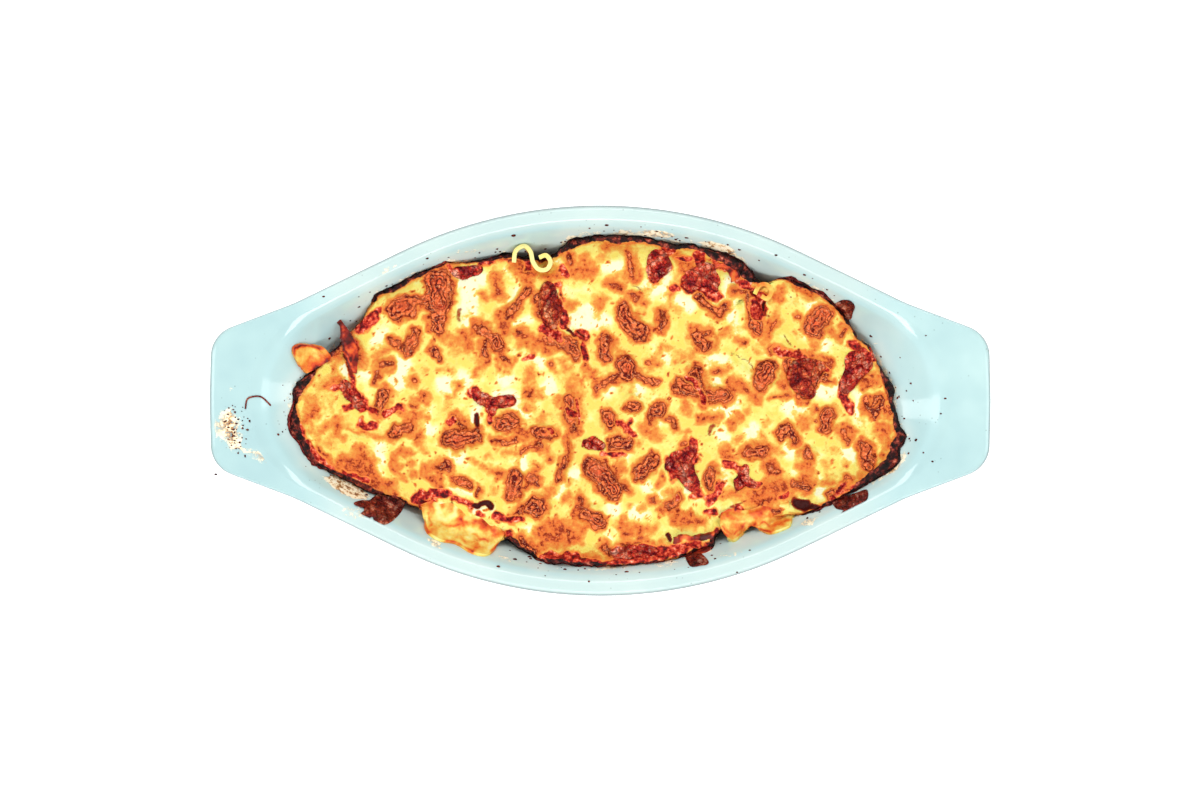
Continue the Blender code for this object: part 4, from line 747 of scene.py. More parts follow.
def cells(x, y, size):
    """Distance to the nearest and the second nearest of scattered middles, and its own number."""
    gx, gy = np.asarray(x) / size, np.asarray(y) / size
    cell_x, cell_y = np.floor(gx).astype(int), np.floor(gy).astype(int)
    nearest = np.full(gx.shape, 9.0)
    second = np.full(gx.shape, 9.0)
    number = np.zeros(gx.shape)
    for i in (-1, 0, 1):
        for j in (-1, 0, 1):
            spot = JITTER[(cell_x + i) % LATTICE_SIZE, (cell_y + j) % LATTICE_SIZE]
            far = np.hypot(cell_x + i + spot[..., 0] - gx, cell_y + j + spot[..., 1] - gy)
            closer = far < nearest
            second = np.where(closer, nearest, np.minimum(second, far))
            number = np.where(closer, spot[..., 2], number)
            nearest = np.where(closer, far, nearest)
    return nearest * size, second * size, number


def oval_far(x, y, bx, by, length, width, turn):
    """1 on the border of a turned oval, less inside."""
    cos, sin = math.cos(math.radians(turn)), math.sin(math.radians(turn))
    along = ((x - bx) * cos + (y - by) * sin) / (length / 2)
    across = (-(x - bx) * sin + (y - by) * cos) / (width / 2)
    return np.hypot(along, across)


def blister_cover(x, y, oval):
    far = oval_far(x, y, *oval) + 0.22 * waves(x + 40, y - 90, 5.0)
    return fade(0.70, 1.15, far)


def line_distance(x, y, start, finish):
    ax, ay = start
    dx, dy = finish[0] - ax, finish[1] - ay
    share = np.clip(((x - ax) * dx + (y - ay) * dy) / max(dx * dx + dy * dy, 1e-6), 0.0, 1.0)
    return np.hypot(x - ax - share * dx, y - ay - share * dy)


def food_height(x, y):
    """Height of the top of the lasagna, as in the solids."""
    height = CHEESE_LEVEL + 1.5 * waves(x, y, 34.0) + 0.7 * waves(x - 50, y + 20, 13.0)
    for start, finish, half_width, rise in FOLDS:
        height = height + rise * bell(line_distance(x, y, start, finish), half_width)
    for *oval, rise in BLISTERS:
        height = height + rise * blister_cover(x, y, oval)
    angle = np.arctan2(y, x)
    share = np.hypot(x, y) / food_distance(angle)
    edge = smooth_step(0.84, 1.0, share)
    height = height + (edge_height(angle) - 0.6 - height) * edge
    return np.clip(height, CHEESE_LOW, CHEESE_HIGH)


# ------------------------------------------------------------------ fields of the surface
def wandered(x, y):
    """The same places, moved a little, so that borders run unevenly."""
    return (x + 2.0 * rough(x, y, 7.0) + 0.9 * waves(x, y + 17, 2.6),
            y + 2.0 * rough(x + 60, y - 35, 7.0) + 0.9 * waves(x - 29, y, 2.6))


def stroke_far(x, y, width, points):
    """Distance to a line through the points, 1 at half the width."""
    spots = points if len(points) > 1 else points * 2
    far = line_distance(x, y, spots[0], spots[1])
    for start, finish in zip(spots[1:], spots[2:]):
        far = np.minimum(far, line_distance(x, y, start, finish))
    return far / (width / 2)


def strokes_at(x, y, strokes, border, inside, outside):
    """Strokes that run together where they meet: the value at a border, and its slopes per mm."""
    total = np.zeros_like(x)
    for amount, width, *points in strokes:
        far = (stroke_far(x, y, width, points) - 1.0) * width / 2
        level = border - far * np.where(far < 0, inside, outside)
        total = np.maximum(total, amount * np.clip(level, 0.0, 1.0))
    return total


def burnt_width(x, y):
    """Width of the burnt edge in this direction."""
    return np.interp(np.arctan2(y, x), *BURNT_ROUND, period=2 * math.pi)


def inside_food(x, y):
    """How far inside the lasagna's edge, less than 0 outside."""
    return food_distance(np.arctan2(y, x)) - np.hypot(x, y)


def toast_at(x, y):
    """How brown the cheese is: 0 pale, about 0.6 the border of a blister, 1 a dark blister."""
    wx, wy = wandered(x, y)
    blistered = strokes_at(wx, wy, DARK_BROWNS, 0.50, 0.15, 0.22)
    blistered = blistered * (1 + 0.14 * rough(x + 30, y, 5.0))
    blistered = np.where(blistered > 0.72, 0.72 + 0.45 * (blistered - 0.72), blistered)
    golden = np.minimum(strokes_at(wx, wy, LIGHT_BROWNS, 0.55, 0.15, 0.18), 0.55)
    toast = np.maximum(blistered, golden)
    mottle = 0.10 + 0.26 * rough(x, y, 9.0) + 0.20 * rough(x + 7, y, 3.6)
    near, _, number = cells(wx + 200, wy + 77, 4.8)
    freckle = (0.25 + 0.37 * number) * fade(0.3, 1.0, near / (0.5 + number ** 3))
    toast = toast + np.clip(mottle, 0.0, 0.5) * fade(0.25, 0.55, toast)
    toast = np.maximum(toast, freckle)
    near, _, number = cells(wx - 60, wy + 140, 2.9)
    dot = (0.22 + 0.30 * number) * fade(0.3, 1.0, near / (0.25 + 0.6 * number ** 2))
    toast = np.maximum(toast, dot)
    edge = fade(0.0, 3.4, inside_food(x, y) - burnt_width(x, y) + 1.6 * rough(x, y, 6.0))
    return np.maximum(toast, edge * (0.52 + 0.3 * rough(x, y, 6.0)))


def inward_at(x, y):
    """How far inside a dark blister, 1 at 10 mm."""
    return strokes_at(*wandered(x, y), DARK_BROWNS, 0.0, 0.1, 0.1)


def white_at(x, y):
    wx, wy = wandered(x, y)
    patches = strokes_at(wx, wy, [(1.0, *patch) for patch in WHITES], 0.5, 0.25, 0.20)
    return np.clip(patches + 0.18 + 0.55 * rough(x + 15, y, 13.0), 0.0, 1.0)


def sauce_at(x, y):
    return strokes_at(*wandered(x, y), REDS, 0.55, 0.35, 0.30)


def char_at(x, y):
    """How burnt, at the very edge."""
    width = burnt_width(x, y)
    uneven = 1.3 * rough(x, y, 4.0) + 0.5 * rough(x - 40, y, 12.0)
    char = fade(-0.6, 1.0, inside_food(x, y) - width + uneven)
    return char * smooth_step(0.7, 1.5, width + 0.5 * rough(x + 11, y, 7.0))


def maroon_at(x, y):
    """1 where the burnt edge is dark red rather than black."""
    strokes = [(1.0, *stroke) for stroke in MAROONS]
    return strokes_at(*wandered(x, y), strokes, 0.5, 0.3, 0.25)


def slit_far(x, y):
    """Share of the way out of the nearest dark opening, and how deep that one is."""
    wx, wy = x + 0.8 * waves(x, y, 2.6), y + 0.8 * waves(x + 90, y, 2.6)
    nearest, deep = np.full_like(x, 9.0), np.zeros_like(x)
    for width, depth, *points in SLITS:
        far = stroke_far(wx, wy, width, points)
        deep = np.where(far < nearest, depth, deep)
        nearest = np.minimum(nearest, far)
    return nearest, deep


def crack_painted_shade_at(x, y):
    """1 in a deep dark opening, about half of that in a shallow one: the amount of painted shade.
    """
    far, deep = slit_far(x, y)
    return fade(0.55, 1.35, far) * (0.50 + 0.50 * smooth_step(0.7, 1.3, deep))


def lobed_reach(angle, reach, piece):
    """Distance out to a piece's uneven outline, from that to its plain oval."""
    reach = reach + 0.5 * np.sin(3 * angle + piece.middle[0])
    for direction, extra in piece.lobes:
        apart = np.angle(np.exp(1j * (angle - math.radians(direction))))
        reach = reach + extra * bell(apart, LOBE_SPREAD)
    return reach


def piece_far(x, y, piece):
    """1 on the uneven outline of a piece, less inside."""
    dx, dy = x - piece.middle[0], y - piece.middle[1]
    angle = np.arctan2(dy, dx)
    cos, sin = np.cos(angle - piece.turn), np.sin(angle - piece.turn)
    oval = 1 / np.hypot(cos / (piece.size[0] / 2), sin / (piece.size[1] / 2))
    return np.hypot(dx, dy) / lobed_reach(angle, oval, piece)


def cheese_height(x, y):
    """The top of the cheese with its fine relief, sunk where sauce lies in it."""
    height = food_height(x, y)
    toast = toast_at(x, y)
    near, _, _ = cells(*wandered(x, y), BUBBLE_SPACING)
    bubble = BUBBLE_HEIGHT * (np.clip(1 - (near / BUBBLE_RADIUS) ** 2, 0.0, 1.0) - 0.5)
    brown = smooth_step(0.52, 0.72, toast)
    height = height + 0.45 * smooth_step(0.35, 0.75, toast) + bubble * brown
    height = height + 0.35 * rough(x, y, 6.0) + 0.14 * rough(x, y, 2.4, 2)
    height = height - 0.35 * smooth_step(0.35, 0.8, sauce_at(x, y))
    far, deep = slit_far(x, y)
    height = height - deep * fade(0.3, 1.4, far)
    for piece in SAUCES:
        height = height - SAUCE_HOLLOW * fade(0.86, 1.06, piece_far(x, y, piece))
    return np.clip(height, CHEESE_LOW - 1.2, CHEESE_HIGH + 0.6)


# ------------------------------------------------------------------ shader helpers
def srgb(red, green, blue, shade=1.0):
    """Colour as seen on screen, 0 to 255, turned into the shader's own scale and dimmed."""
    channels = [channel / 255 for channel in (red, green, blue)]
    linear = [((c + 0.055) / 1.055) ** 2.4 if c > 0.04 else c / 12.92 for c in channels]
    return (*(shade * c for c in linear), 1.0)


class Tree:
    """A node tree with short ways to add and join nodes."""

    def __init__(self, tree):
        self.tree = tree

    def node(self, kind, inputs=None, **settings):
        made = self.tree.nodes.new(kind)
        for key, value in settings.items():
            setattr(made, key, value)
        for key, value in (inputs or {}).items():
            self.feed(made.inputs[key], value)
        return made

    def feed(self, socket, value):
        if isinstance(value, bpy.types.NodeSocket):
            self.tree.links.new(value, socket)
        else:
            socket.default_value = value

    def math(self, operation, first, second=0.0, clamp=False):
        made = self.node("ShaderNodeMath", {0: first, 1: second},
                         operation=operation, use_clamp=clamp)
        return made.outputs[0]

    def plus(self, first, second, clamp=False):
        return self.math("ADD", first, second, clamp)

    def minus(self, first, second):
        return self.math("SUBTRACT", first, second)

    def times(self, first, second):
        return self.math("MULTIPLY", first, second)

    def mix(self, factor, first, second):
        made = self.node("ShaderNodeMix", data_type="RGBA")
        for index, value in ((0, factor), (6, first), (7, second)):
            self.feed(made.inputs[index], value)
        return made.outputs[2]

    def step(self, value, low, high, start=0.0, finish=1.0):
        return self.node("ShaderNodeMapRange", {
            "Value": value, "From Min": low, "From Max": high, "To Min": start,
            "To Max": finish}, interpolation_type="SMOOTHSTEP").outputs[0]

    def ramp(self, value, *stops):
        """Colours along a value: each stop is its place and then a colour as srgb takes it."""
        made = self.node("ShaderNodeValToRGB")
        band = made.color_ramp
        while len(band.elements) < len(stops):
            band.elements.new(0.5)
        for element, (place, *colour) in zip(band.elements, stops):
            element.position = place
            element.color = srgb(*colour)
        self.feed(made.inputs[0], value)
        return made.outputs[0]

    def attribute(self, name):
        return self.node("ShaderNodeAttribute", attribute_name=name).outputs["Fac"]

    def noise(self, place, scale, detail=3.0, roughness=0.55):
        return self.node("ShaderNodeTexNoise", {
            "Vector": place, "Scale": scale, "Detail": detail, "Roughness": roughness}).outputs[0]

    def object_place(self):
        return self.node("ShaderNodeTexCoord").outputs["Object"]

    def bump(self, height, strength, distance, normal=None):
        inputs = {"Height": height, "Strength": strength, "Distance": distance}
        if normal is not None:
            inputs["Normal"] = normal
        return self.node("ShaderNodeBump", inputs).outputs[0]

    def wrinkles(self, scale):
        """Lines and grain of the network of wrinkles."""
        made = self.node("ShaderNodeGroup", {}, node_tree=WRINKLES)
        made.inputs["Scale"].default_value = scale
        return made.outputs["Lines"], made.outputs["Grain"]


def wrinkle_group():
    """Network of fine wrinkles and pimples, as on anything baked brown."""
    group = bpy.data.node_groups.new("baked_wrinkles", "ShaderNodeTree")
    scale = group.interface.new_socket("Scale", in_out="INPUT", socket_type="NodeSocketFloat")
    scale.default_value = 450.0
    for key in ("Lines", "Grain"):
        group.interface.new_socket(key, in_out="OUTPUT", socket_type="NodeSocketFloat")
    tree = Tree(group)
    source, target = tree.node("NodeGroupInput"), tree.node("NodeGroupOutput")
    place = tree.object_place()
    bend = tree.node("ShaderNodeTexNoise", {
        "Vector": place, "Scale": 330.0, "Detail": 2.0, "Roughness": 0.5}).outputs["Color"]
    shift = tree.node("ShaderNodeVectorMath", {0: bend, 1: (0.0028,) * 3, 2: place},
                      operation="MULTIPLY_ADD").outputs[0]
    edges = tree.node("ShaderNodeTexVoronoi", {"Vector": shift, "Scale": source.outputs[0]},
                      feature="DISTANCE_TO_EDGE")
    tree.feed(target.inputs["Lines"], tree.step(edges.outputs[0], 0.02, 0.17, 1.0, 0.0))
    tree.feed(target.inputs["Grain"], tree.noise(place, 900.0, 3.0, 0.6))
    return group


WRINKLES = wrinkle_group()


# ------------------------------------------------------------------ materials
def new_material(name):
    made = bpy.data.materials.new(name)
    made.use_nodes = True
    return made, Tree(made.node_tree), made.node_tree.nodes["Principled BSDF"]


def paint(tree, shader, colour, roughness, shine, normal):
    """Joins a surface's colour, roughness, shine and relief to its shader."""
    for name, value in (("Base Color", colour), ("Roughness", roughness),
                        ("Specular IOR Level", shine), ("Normal", normal)):
        tree.feed(shader.inputs[name], value)


def cheese_material():
    """Melted cheese: pale, golden, then blistered brown, with sauce, char and openings, painted
    shade in the openings and painted highlights on blisters, sauce and char.
    """
    made, tree, shader = new_material("melted_cheese")
    place = tree.object_place()
    toast, white, sauce, char, crack_painted_shade = (
        tree.attribute(name) for name in ("toast", "white", "sauce", "char", "crack_painted_shade"))
    lines, grain = tree.wrinkles(360.0)
    fine = tree.minus(tree.noise(place, 700.0, 3.0, 0.6), 0.5)
    coarse = tree.minus(tree.noise(place, 260.0, 3.0), 0.5)
    toast = tree.plus(toast, tree.times(fine, 0.30))
    toast = tree.plus(toast, tree.times(coarse, 0.34), clamp=True)
    pale = tree.ramp(
        tree.plus(white, tree.times(coarse, 1.2)), (0.10, 255, 232, 108, 0.74),
        (0.36, 255, 248, 136, 0.75), (0.62, 255, 252, 172, 0.76), (0.94, 255, 254, 214, 0.78))
    golden = tree.ramp(
        toast, (0.20, 254, 238, 126, 0.76), (0.30, 250, 208, 96, 0.76),
        (0.42, 242, 158, 66, 0.78), (0.54, 230, 112, 46, 0.82), (0.605, 140, 32, 12),
        (0.66, 244, 128, 66, 0.95), (0.82, 242, 112, 60, 0.95), (1.0, 214, 64, 34, 0.92))
    colour = tree.mix(tree.step(toast, 0.14, 0.27), pale, golden)
    brown = tree.step(toast, 0.57, 0.66)
    # Wrinkles that follow a blister's border, crossed by the network.
    phase = tree.plus(tree.times(tree.attribute("inward"), 30.0),
                      tree.times(tree.noise(place, 210.0, 3.0, 0.6), 20.0))
    rings = tree.step(tree.math("SINE", phase), 0.0, 0.75)
    thick = tree.step(tree.noise(place, 150.0, 2.0), 0.36, 0.54, 0.6, 1.0)
    wrinkled = tree.math("MAXIMUM", rings, tree.times(lines, 0.55))
    dark_lines = tree.times(tree.times(wrinkled, thick), brown)
    colour = tree.mix(dark_lines, colour, srgb(92, 4, 2))
    # Painted highlights: pale pink flecks on the brown blisters.
    light = tree.times(tree.step(grain, 0.55, 0.66), brown)
    colour = tree.mix(tree.times(light, 0.50), colour, srgb(255, 168, 120, 0.95))
    # Dark red sauce on the cheese; the palest pink stop is painted glints.
    red = tree.ramp(
        tree.noise(place, 420.0, 4.0, 0.6), (0.36, 66, 2, 8), (0.45, 136, 12, 16),
        (0.52, 190, 46, 30), (0.60, 226, 96, 62), (0.70, 252, 178, 146))
    sauce_edge = tree.plus(sauce, tree.times(fine, 0.45))
    colour = tree.mix(tree.step(sauce_edge, 0.24, 0.46), colour, srgb(236, 132, 58))
    colour = tree.mix(tree.step(sauce_edge, 0.42, 0.62), colour, red)
    # Burnt crust colours; the palest pink stop is painted highlights.
    burnt = tree.ramp(
        tree.noise(place, 300.0, 4.0, 0.65), (0.38, 8, 3, 4), (0.50, 48, 12, 12),
        (0.58, 120, 40, 30), (0.66, 186, 88, 66), (0.76, 232, 160, 136))
    char_edge = tree.plus(char, tree.times(fine, 0.8))
    colour = tree.mix(tree.step(char_edge, 0.35, 0.60), colour, burnt)
    # Painted shade in the openings between folds: reddish brown at their border, nearly black deep
    # inside.
    opening = tree.plus(crack_painted_shade, tree.times(fine, 0.5))
    colour = tree.mix(tree.step(opening, 0.20, 0.60), colour, srgb(150, 40, 18))
    colour = tree.mix(tree.step(opening, 0.62, 0.95), colour, srgb(62, 12, 10))
    wrinkle_relief = tree.bump(tree.minus(grain, tree.times(dark_lines, 1.1)), 0.8, 0.0009)
    paint(tree, shader, colour, tree.step(toast, 0.2, 0.9, 0.32, 0.24), 0.14,
          tree.bump(coarse, 0.4, 0.0010, wrinkle_relief))
    return made


def baked_material(name, wrinkle_scale, roughness, *stops):
    """Sauce, meat or burnt crust: a ramp of dark to light over a wrinkled wet surface, with
    painted shade between the lumps, painted highlights on their tops and painted glints at the
    ramp's palest end.
    """
    made, tree, shader = new_material(name)
    lines, grain = tree.wrinkles(wrinkle_scale)
    colour = tree.ramp(tree.noise(tree.object_place(), 190.0, 5.0, 0.68), *stops)
    high = tree.attribute("high")
    darkest, lightest = srgb(*stops[0][1:]), srgb(*stops[-1][1:])
    # Painted shade between the lumps, and painted highlights on their tops.
    colour = tree.mix(tree.step(high, 0.0, 0.20, 0.6, 0.0), colour, darkest)
    colour = tree.mix(tree.step(high, 0.5, 0.85, 0.0, 0.40), colour, lightest)
    colour = tree.mix(tree.times(lines, 0.35), colour, darkest)
    relief = tree.minus(grain, tree.times(lines, 0.8))
    paint(tree, shader, colour, tree.step(grain, 0.3, 0.7, roughness, roughness + 0.2), 0.22,
          tree.bump(relief, 1.0, 0.0008))
    return made


def burnt_edge_material():
    """The side and edge of the lasagna: baked orange, black where it caught on the dish."""
    made, tree, shader = new_material("charred_filling")
    lines, grain = tree.wrinkles(520.0)
    patch = tree.noise(tree.object_place(), 260.0, 4.0, 0.6)
    baked = tree.ramp(
        patch, (0.32, 176, 56, 28), (0.44, 226, 110, 48), (0.56, 242, 160, 72),
        (0.70, 252, 214, 118))
    # The palest pink stops of the black and dark red crust are painted highlights.
    black = tree.ramp(
        patch, (0.36, 6, 3, 4), (0.52, 26, 8, 9), (0.60, 84, 26, 22), (0.68, 150, 66, 54),
        (0.78, 214, 140, 122))
    maroon = tree.ramp(
        patch, (0.34, 16, 4, 6), (0.44, 84, 10, 16), (0.54, 146, 34, 34), (0.64, 206, 92, 74),
        (0.76, 248, 170, 140))
    black = tree.mix(tree.attribute("maroon"), black, maroon)
    border = tree.plus(tree.attribute("burnt"), tree.times(tree.minus(grain, 0.5), 0.9))
    colour = tree.mix(tree.step(border, 0.35, 0.6), baked, black)
    colour = tree.mix(tree.times(lines, 0.35), colour, srgb(70, 12, 8))
    relief = tree.minus(grain, tree.times(lines, 0.8))
    paint(tree, shader, colour, tree.step(grain, 0.3, 0.7, 0.22, 0.42), 0.32,
          tree.bump(relief, 1.0, 0.0014))
    return made


def pasta_material():
    """Cooked pasta: pale yellow, orange and then dark brown as it toasts."""
    made, tree, shader = new_material("cooked_pasta")
    lines, grain = tree.wrinkles(600.0)
    patch = tree.minus(tree.noise(tree.object_place(), 190.0, 4.0, 0.6), 0.5)
    toast = tree.plus(tree.attribute("toast"), tree.times(patch, 0.8), clamp=True)
    colour = tree.ramp(
        toast, (0.0, 255, 246, 160, 0.8), (0.18, 255, 226, 112, 0.8), (0.36, 248, 182, 78, 0.8),
        (0.52, 238, 128, 46, 0.84), (0.70, 206, 72, 30), (0.86, 140, 28, 14), (1.0, 72, 10, 6))
    relief = tree.minus(grain, tree.times(lines, 0.25))
    paint(tree, shader, colour, 0.38, 0.25, tree.bump(relief, 0.3, 0.0005))
    return made


def glaze_material():
    """Aqua glaze, with its flecks, the film of dried fat on it and the bare clay of the foot,
    painted light on the lip, the lower side walls and beside the food, and painted shade on the
    grips and the rim's edge.
    """
    made, tree, shader = new_material("aqua_glaze")
    place = tree.object_place()
    cloud = tree.noise(place, 26.0, 3.0, 0.6)
    level, steep_painted_light, grip = (
        tree.ramp(cloud, (0.30, *deep), (0.55, *middle), (0.75, *light))
        for deep, middle, light in (
            ((170, 204, 206), (178, 210, 211), (186, 216, 216)),
            ((186, 207, 204), (192, 211, 207), (198, 215, 210)),
            ((164, 196, 198), (174, 205, 205), (186, 215, 213))))
    # Painted light: lighter glaze on the lip and low on the sloping walls along the sides.
    colour = tree.mix(tree.attribute("steep_painted_light"), level, steep_painted_light)
    # Painted light: paler glaze beside the food lifts the shade there, and also gives a pale fat
    # tint.
    painted_light_near_food = tree.times(tree.attribute("near"), 0.5)
    colour = tree.mix(painted_light_near_food, colour, srgb(212, 224, 217))
    # Painted shade: darker glaze on the flat grips tones down the light on them.
    colour = tree.mix(tree.attribute("grip"), colour, grip)
    outside = tree.times(tree.attribute("outside"), 0.75)
    colour = tree.mix(outside, colour, srgb(150, 184, 187))
    # Painted shade: a dark grey line along the rim's rounded upper edge.
    colour = tree.mix(tree.attribute("thin"), colour, srgb(84, 98, 100))
    speckle = tree.node("ShaderNodeTexVoronoi", {"Vector": place, "Scale": 330.0}, feature="F1")
    fleck = tree.times(tree.step(speckle.outputs["Distance"], 0.07, 0.15, 1.0, 0.0),
                       tree.step(tree.noise(place, 60.0, 2.0), 0.52, 0.62))
    colour = tree.mix(tree.times(fleck, 0.45), colour, srgb(96, 118, 116))
    crust = tree.noise(place, 420.0, 4.0, 0.65)
    crust_colour = tree.ramp(
        crust, (0.36, 92, 40, 18), (0.44, 196, 144, 86), (0.51, 242, 226, 190),
        (0.70, 252, 246, 226))
    film_edge = tree.plus(tree.attribute("film"), tree.minus(crust, 0.5))
    covered = tree.step(film_edge, 0.42, 0.62)
    colour = tree.mix(covered, colour, crust_colour)
    clay = tree.ramp(
        tree.noise(place, 300.0, 3.0), (0.35, 206, 196, 178), (0.65, 228, 220, 204))
    bare = tree.attribute("bare")
    colour = tree.mix(bare, colour, clay)
    ripple = tree.bump(tree.noise(place, 18.0, 2.0), 0.12, 0.004)
    dull = tree.math("MAXIMUM", covered, bare)
    paint(tree, shader, colour, tree.step(dull, 0.0, 1.0, 0.10, 0.60), 0.5,
          tree.bump(tree.times(covered, crust), 0.5, 0.0006, ripple))
    return made


CHEESE = cheese_material()
PASTA = pasta_material()
GLAZE = glaze_material()
# The palest pink stop of each of these ramps is painted glints.
SAUCE = baked_material(
    "tomato_sauce", 420.0, 0.14, (0.33, 74, 0, 10), (0.41, 150, 8, 16), (0.48, 200, 44, 30),
    (0.55, 234, 100, 62), (0.65, 255, 184, 158))
MEAT = baked_material(
    "browned_meat", 460.0, 0.16, (0.36, 74, 0, 4), (0.44, 142, 18, 12), (0.51, 190, 52, 28),
    (0.58, 228, 106, 56), (0.68, 254, 182, 136))
BURNT = baked_material(
    "burnt_sauce", 400.0, 0.14, (0.32, 48, 6, 6), (0.43, 104, 20, 14), (0.52, 140, 42, 26),
    (0.60, 190, 96, 66), (0.70, 244, 184, 156))
CHAR = burnt_edge_material()


# ------------------------------------------------------------------ mesh helpers
def add_object(name, data):
    made = bpy.data.objects.new(name, data)
    bpy.context.scene.collection.objects.link(made)
    return made


def flat(measure):
    """The same measure for every height."""
    return lambda x, y, z: measure(x, y)


def finish_piece(name, mesh, look, slot, nodes, fields):
    """Makes the bmesh a piece in metres that rides on the frame and replaces its nodes."""
    bmesh.ops.remove_doubles(mesh, verts=mesh.verts, dist=JOIN_DISTANCE)
    bmesh.ops.recalc_face_normals(mesh, faces=mesh.faces)
    data = bpy.data.meshes.new(name)
    mesh.to_mesh(data)
    mesh.free()
    places = np.zeros(len(data.vertices) * 3)
    data.vertices.foreach_get("co", places)
    places = places.reshape(-1, 3)
    for field, measure in fields.items():
        values = np.asarray(measure(places[:, 0], places[:, 1], places[:, 2]), dtype=np.float32)
        data.attributes.new(field, "FLOAT", "POINT").data.foreach_set("value", values)
    data.vertices.foreach_set("co", (places * MM).ravel())
    data.materials.append(look)
    data.shade_smooth()
    data.update()
    piece = add_object(name, data)
    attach(piece, "root")
    if nodes:
        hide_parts(*nodes)


def turned(rings, steps):
    """Closed body spun from one point for each ring, then put in place ring by ring.

    rings[0] and rings[-1] are its lower and upper middle, the rest functions of the angle.
    """
    mesh = bmesh.new()
    last = len(rings) - 1
    line = [mesh.verts.new((0.0 if index in (0, last) else 1.0, 0.0, index))
            for index in range(len(rings))]
    edges = [mesh.edges.new(pair) for pair in zip(line, line[1:])]
    bmesh.ops.spin(mesh, geom=line + edges, cent=(0, 0, 0), axis=(0, 0, 1),
                   angle=2 * math.pi, steps=steps, use_merge=True)
    bmesh.ops.remove_doubles(mesh, verts=mesh.verts, dist=JOIN_DISTANCE)
    verts = list(mesh.verts)
    unit = np.array([vert.co[:] for vert in verts])
    level = np.rint(unit[:, 2]).astype(int)
    turns = np.arctan2(unit[:, 1], unit[:, 0])
    placed = np.zeros_like(unit)
    for index, ring in enumerate(rings):
        here = level == index
        if callable(ring):
            placed[here] = np.column_stack(np.broadcast_arrays(*ring(turns[here])))
        else:
            placed[here] = ring
    for vert, spot in zip(verts, placed):
        vert.co = spot
    return mesh


def oval_ring(distance, height):
    def ring(turns):
        angle = oval_angle(turns)
        return (*spot_at(angle, distance(angle)), height)
    return ring


def grid_body(cells_along, cells_across, place, bottom):
    """Closed body over a square grid: place gives the upper face, bottom the lower border."""
    mesh = bmesh.new()
    bmesh.ops.create_grid(mesh, x_segments=cells_along, y_segments=cells_across, size=1.0)
    verts = list(mesh.verts)
    unit = np.array([vert.co[:] for vert in verts])
    for vert, spot in zip(verts, np.column_stack(place(unit[:, 0], unit[:, 1]))):
        vert.co = spot
    # The grid's four corners get a diagonal, so that no face has two border edges in line.
    for vert in [vert for vert in verts if len(vert.link_faces) == 1]:
        opposite = [other for other in vert.link_faces[0].verts
                    if not any(other in edge.verts for edge in vert.link_edges)]
        bmesh.ops.connect_verts(mesh, verts=[vert, *opposite])
    border = [edge for edge in mesh.edges if edge.is_boundary]
    skirt = bmesh.ops.extrude_edge_only(mesh, edges=border)["geom"]
    low = [item for item in skirt if isinstance(item, bmesh.types.BMVert)]
    for vert in low:
        vert.co = bottom(vert.co)
    rim = [item for item in skirt if isinstance(item, bmesh.types.BMEdge) and item.is_boundary]
    bmesh.ops.contextual_create(mesh, geom=rim)
    return mesh


def disc(u, v):
    """Angle round the disc and share of the way out for a place of the square grid."""
    across = u * np.sqrt(1 - v * v / 2)
    along = v * np.sqrt(1 - u * u / 2)
    return np.arctan2(along, across), np.hypot(across, along)


# ------------------------------------------------------------------ dish
def rim_ring(inset, height):
    return oval_ring(lambda angle: distance_to(RIM, angle) - inset, height)


def outer_wall_ring(height):
    return oval_ring(
        lambda angle: wall_distance(angle, height + WALL_SHIFT) + WALL_SHIFT, height)


def inner_wall_ring(share, height):
    def distance(angle):
        mouth = distance_to(MOUTH, angle)
        return mouth + (floor_distance(angle) - mouth) * share
    return oval_ring(distance, height)


def inner_at(x, y, z):
    """True on the dish's upper and inner face, False on its underside and outside."""
    return z > wall_height(x, y) - 2.0


def rim_edge_painted_shade_at(x, y, z):
    """1 along the rim's upper edge: painted shade of its rounding, a dark grey line."""
    edge = fade(0.3, 1.0, distance_to(RIM, np.arctan2(y, x)) - np.hypot(x, y))
    return edge * smooth_step(52.4, 53.8, z)


def grip_painted_shade_at(x, y, z):
    """1 on the flat grips, where the glaze is painted darker: painted shade that tones down the
    light falling on them.
    """
    return smooth_step(53.0, 55.2, z) * smooth_step(120.0, 150.0, np.abs(x))


def steep_painted_light_at(x, y, z):
    """1 where the glaze is painted lighter, as painted light: on the lip and low on the sloping
    wall along the sides.
    """
    angle = np.arctan2(y, x)
    steep_painted_light = fade(20.0, 60.0, distance_to(MOUTH, angle) - floor_distance(angle))
    lip = 0.9 * smooth_step(53.0, 55.2, z) * fade(110.0, 150.0, np.abs(x))
    return np.maximum(steep_painted_light * fade(42.0, 55.0, z), lip)


def painted_light_near_food_at(x, y, z):
    """1 on the wall right beside the food, where the glaze is painted paler: painted light that
    lifts the shade there, with a pale tint of splashed fat.
    """
    outside = -inside_food(x, y)
    return fade(0.5, 8.0, outside + 3.0 * rough(x, y, 14.0)) * inner_at(x, y, z)


def film_at(x, y, z):
    """Baked-on film and splashes: round the food, and as a dried patch on the left grip."""
    outside = -inside_food(x, y)
    patchy = 0.50 + 0.30 * rough(x, y, 7.0)
    film = patchy * fade(0.0, 3.6, outside + 2.0 * rough(x, y, 9.0))
    for *splash, amount in FILMS:
        far = oval_far(x + rough(x, y, 6.0), y + rough(x + 9, y, 6.0), *splash)
        film = np.maximum(film, amount * fade(0.55, 1.25, far))
    return np.where(inner_at(x, y, z), film, 0.0)


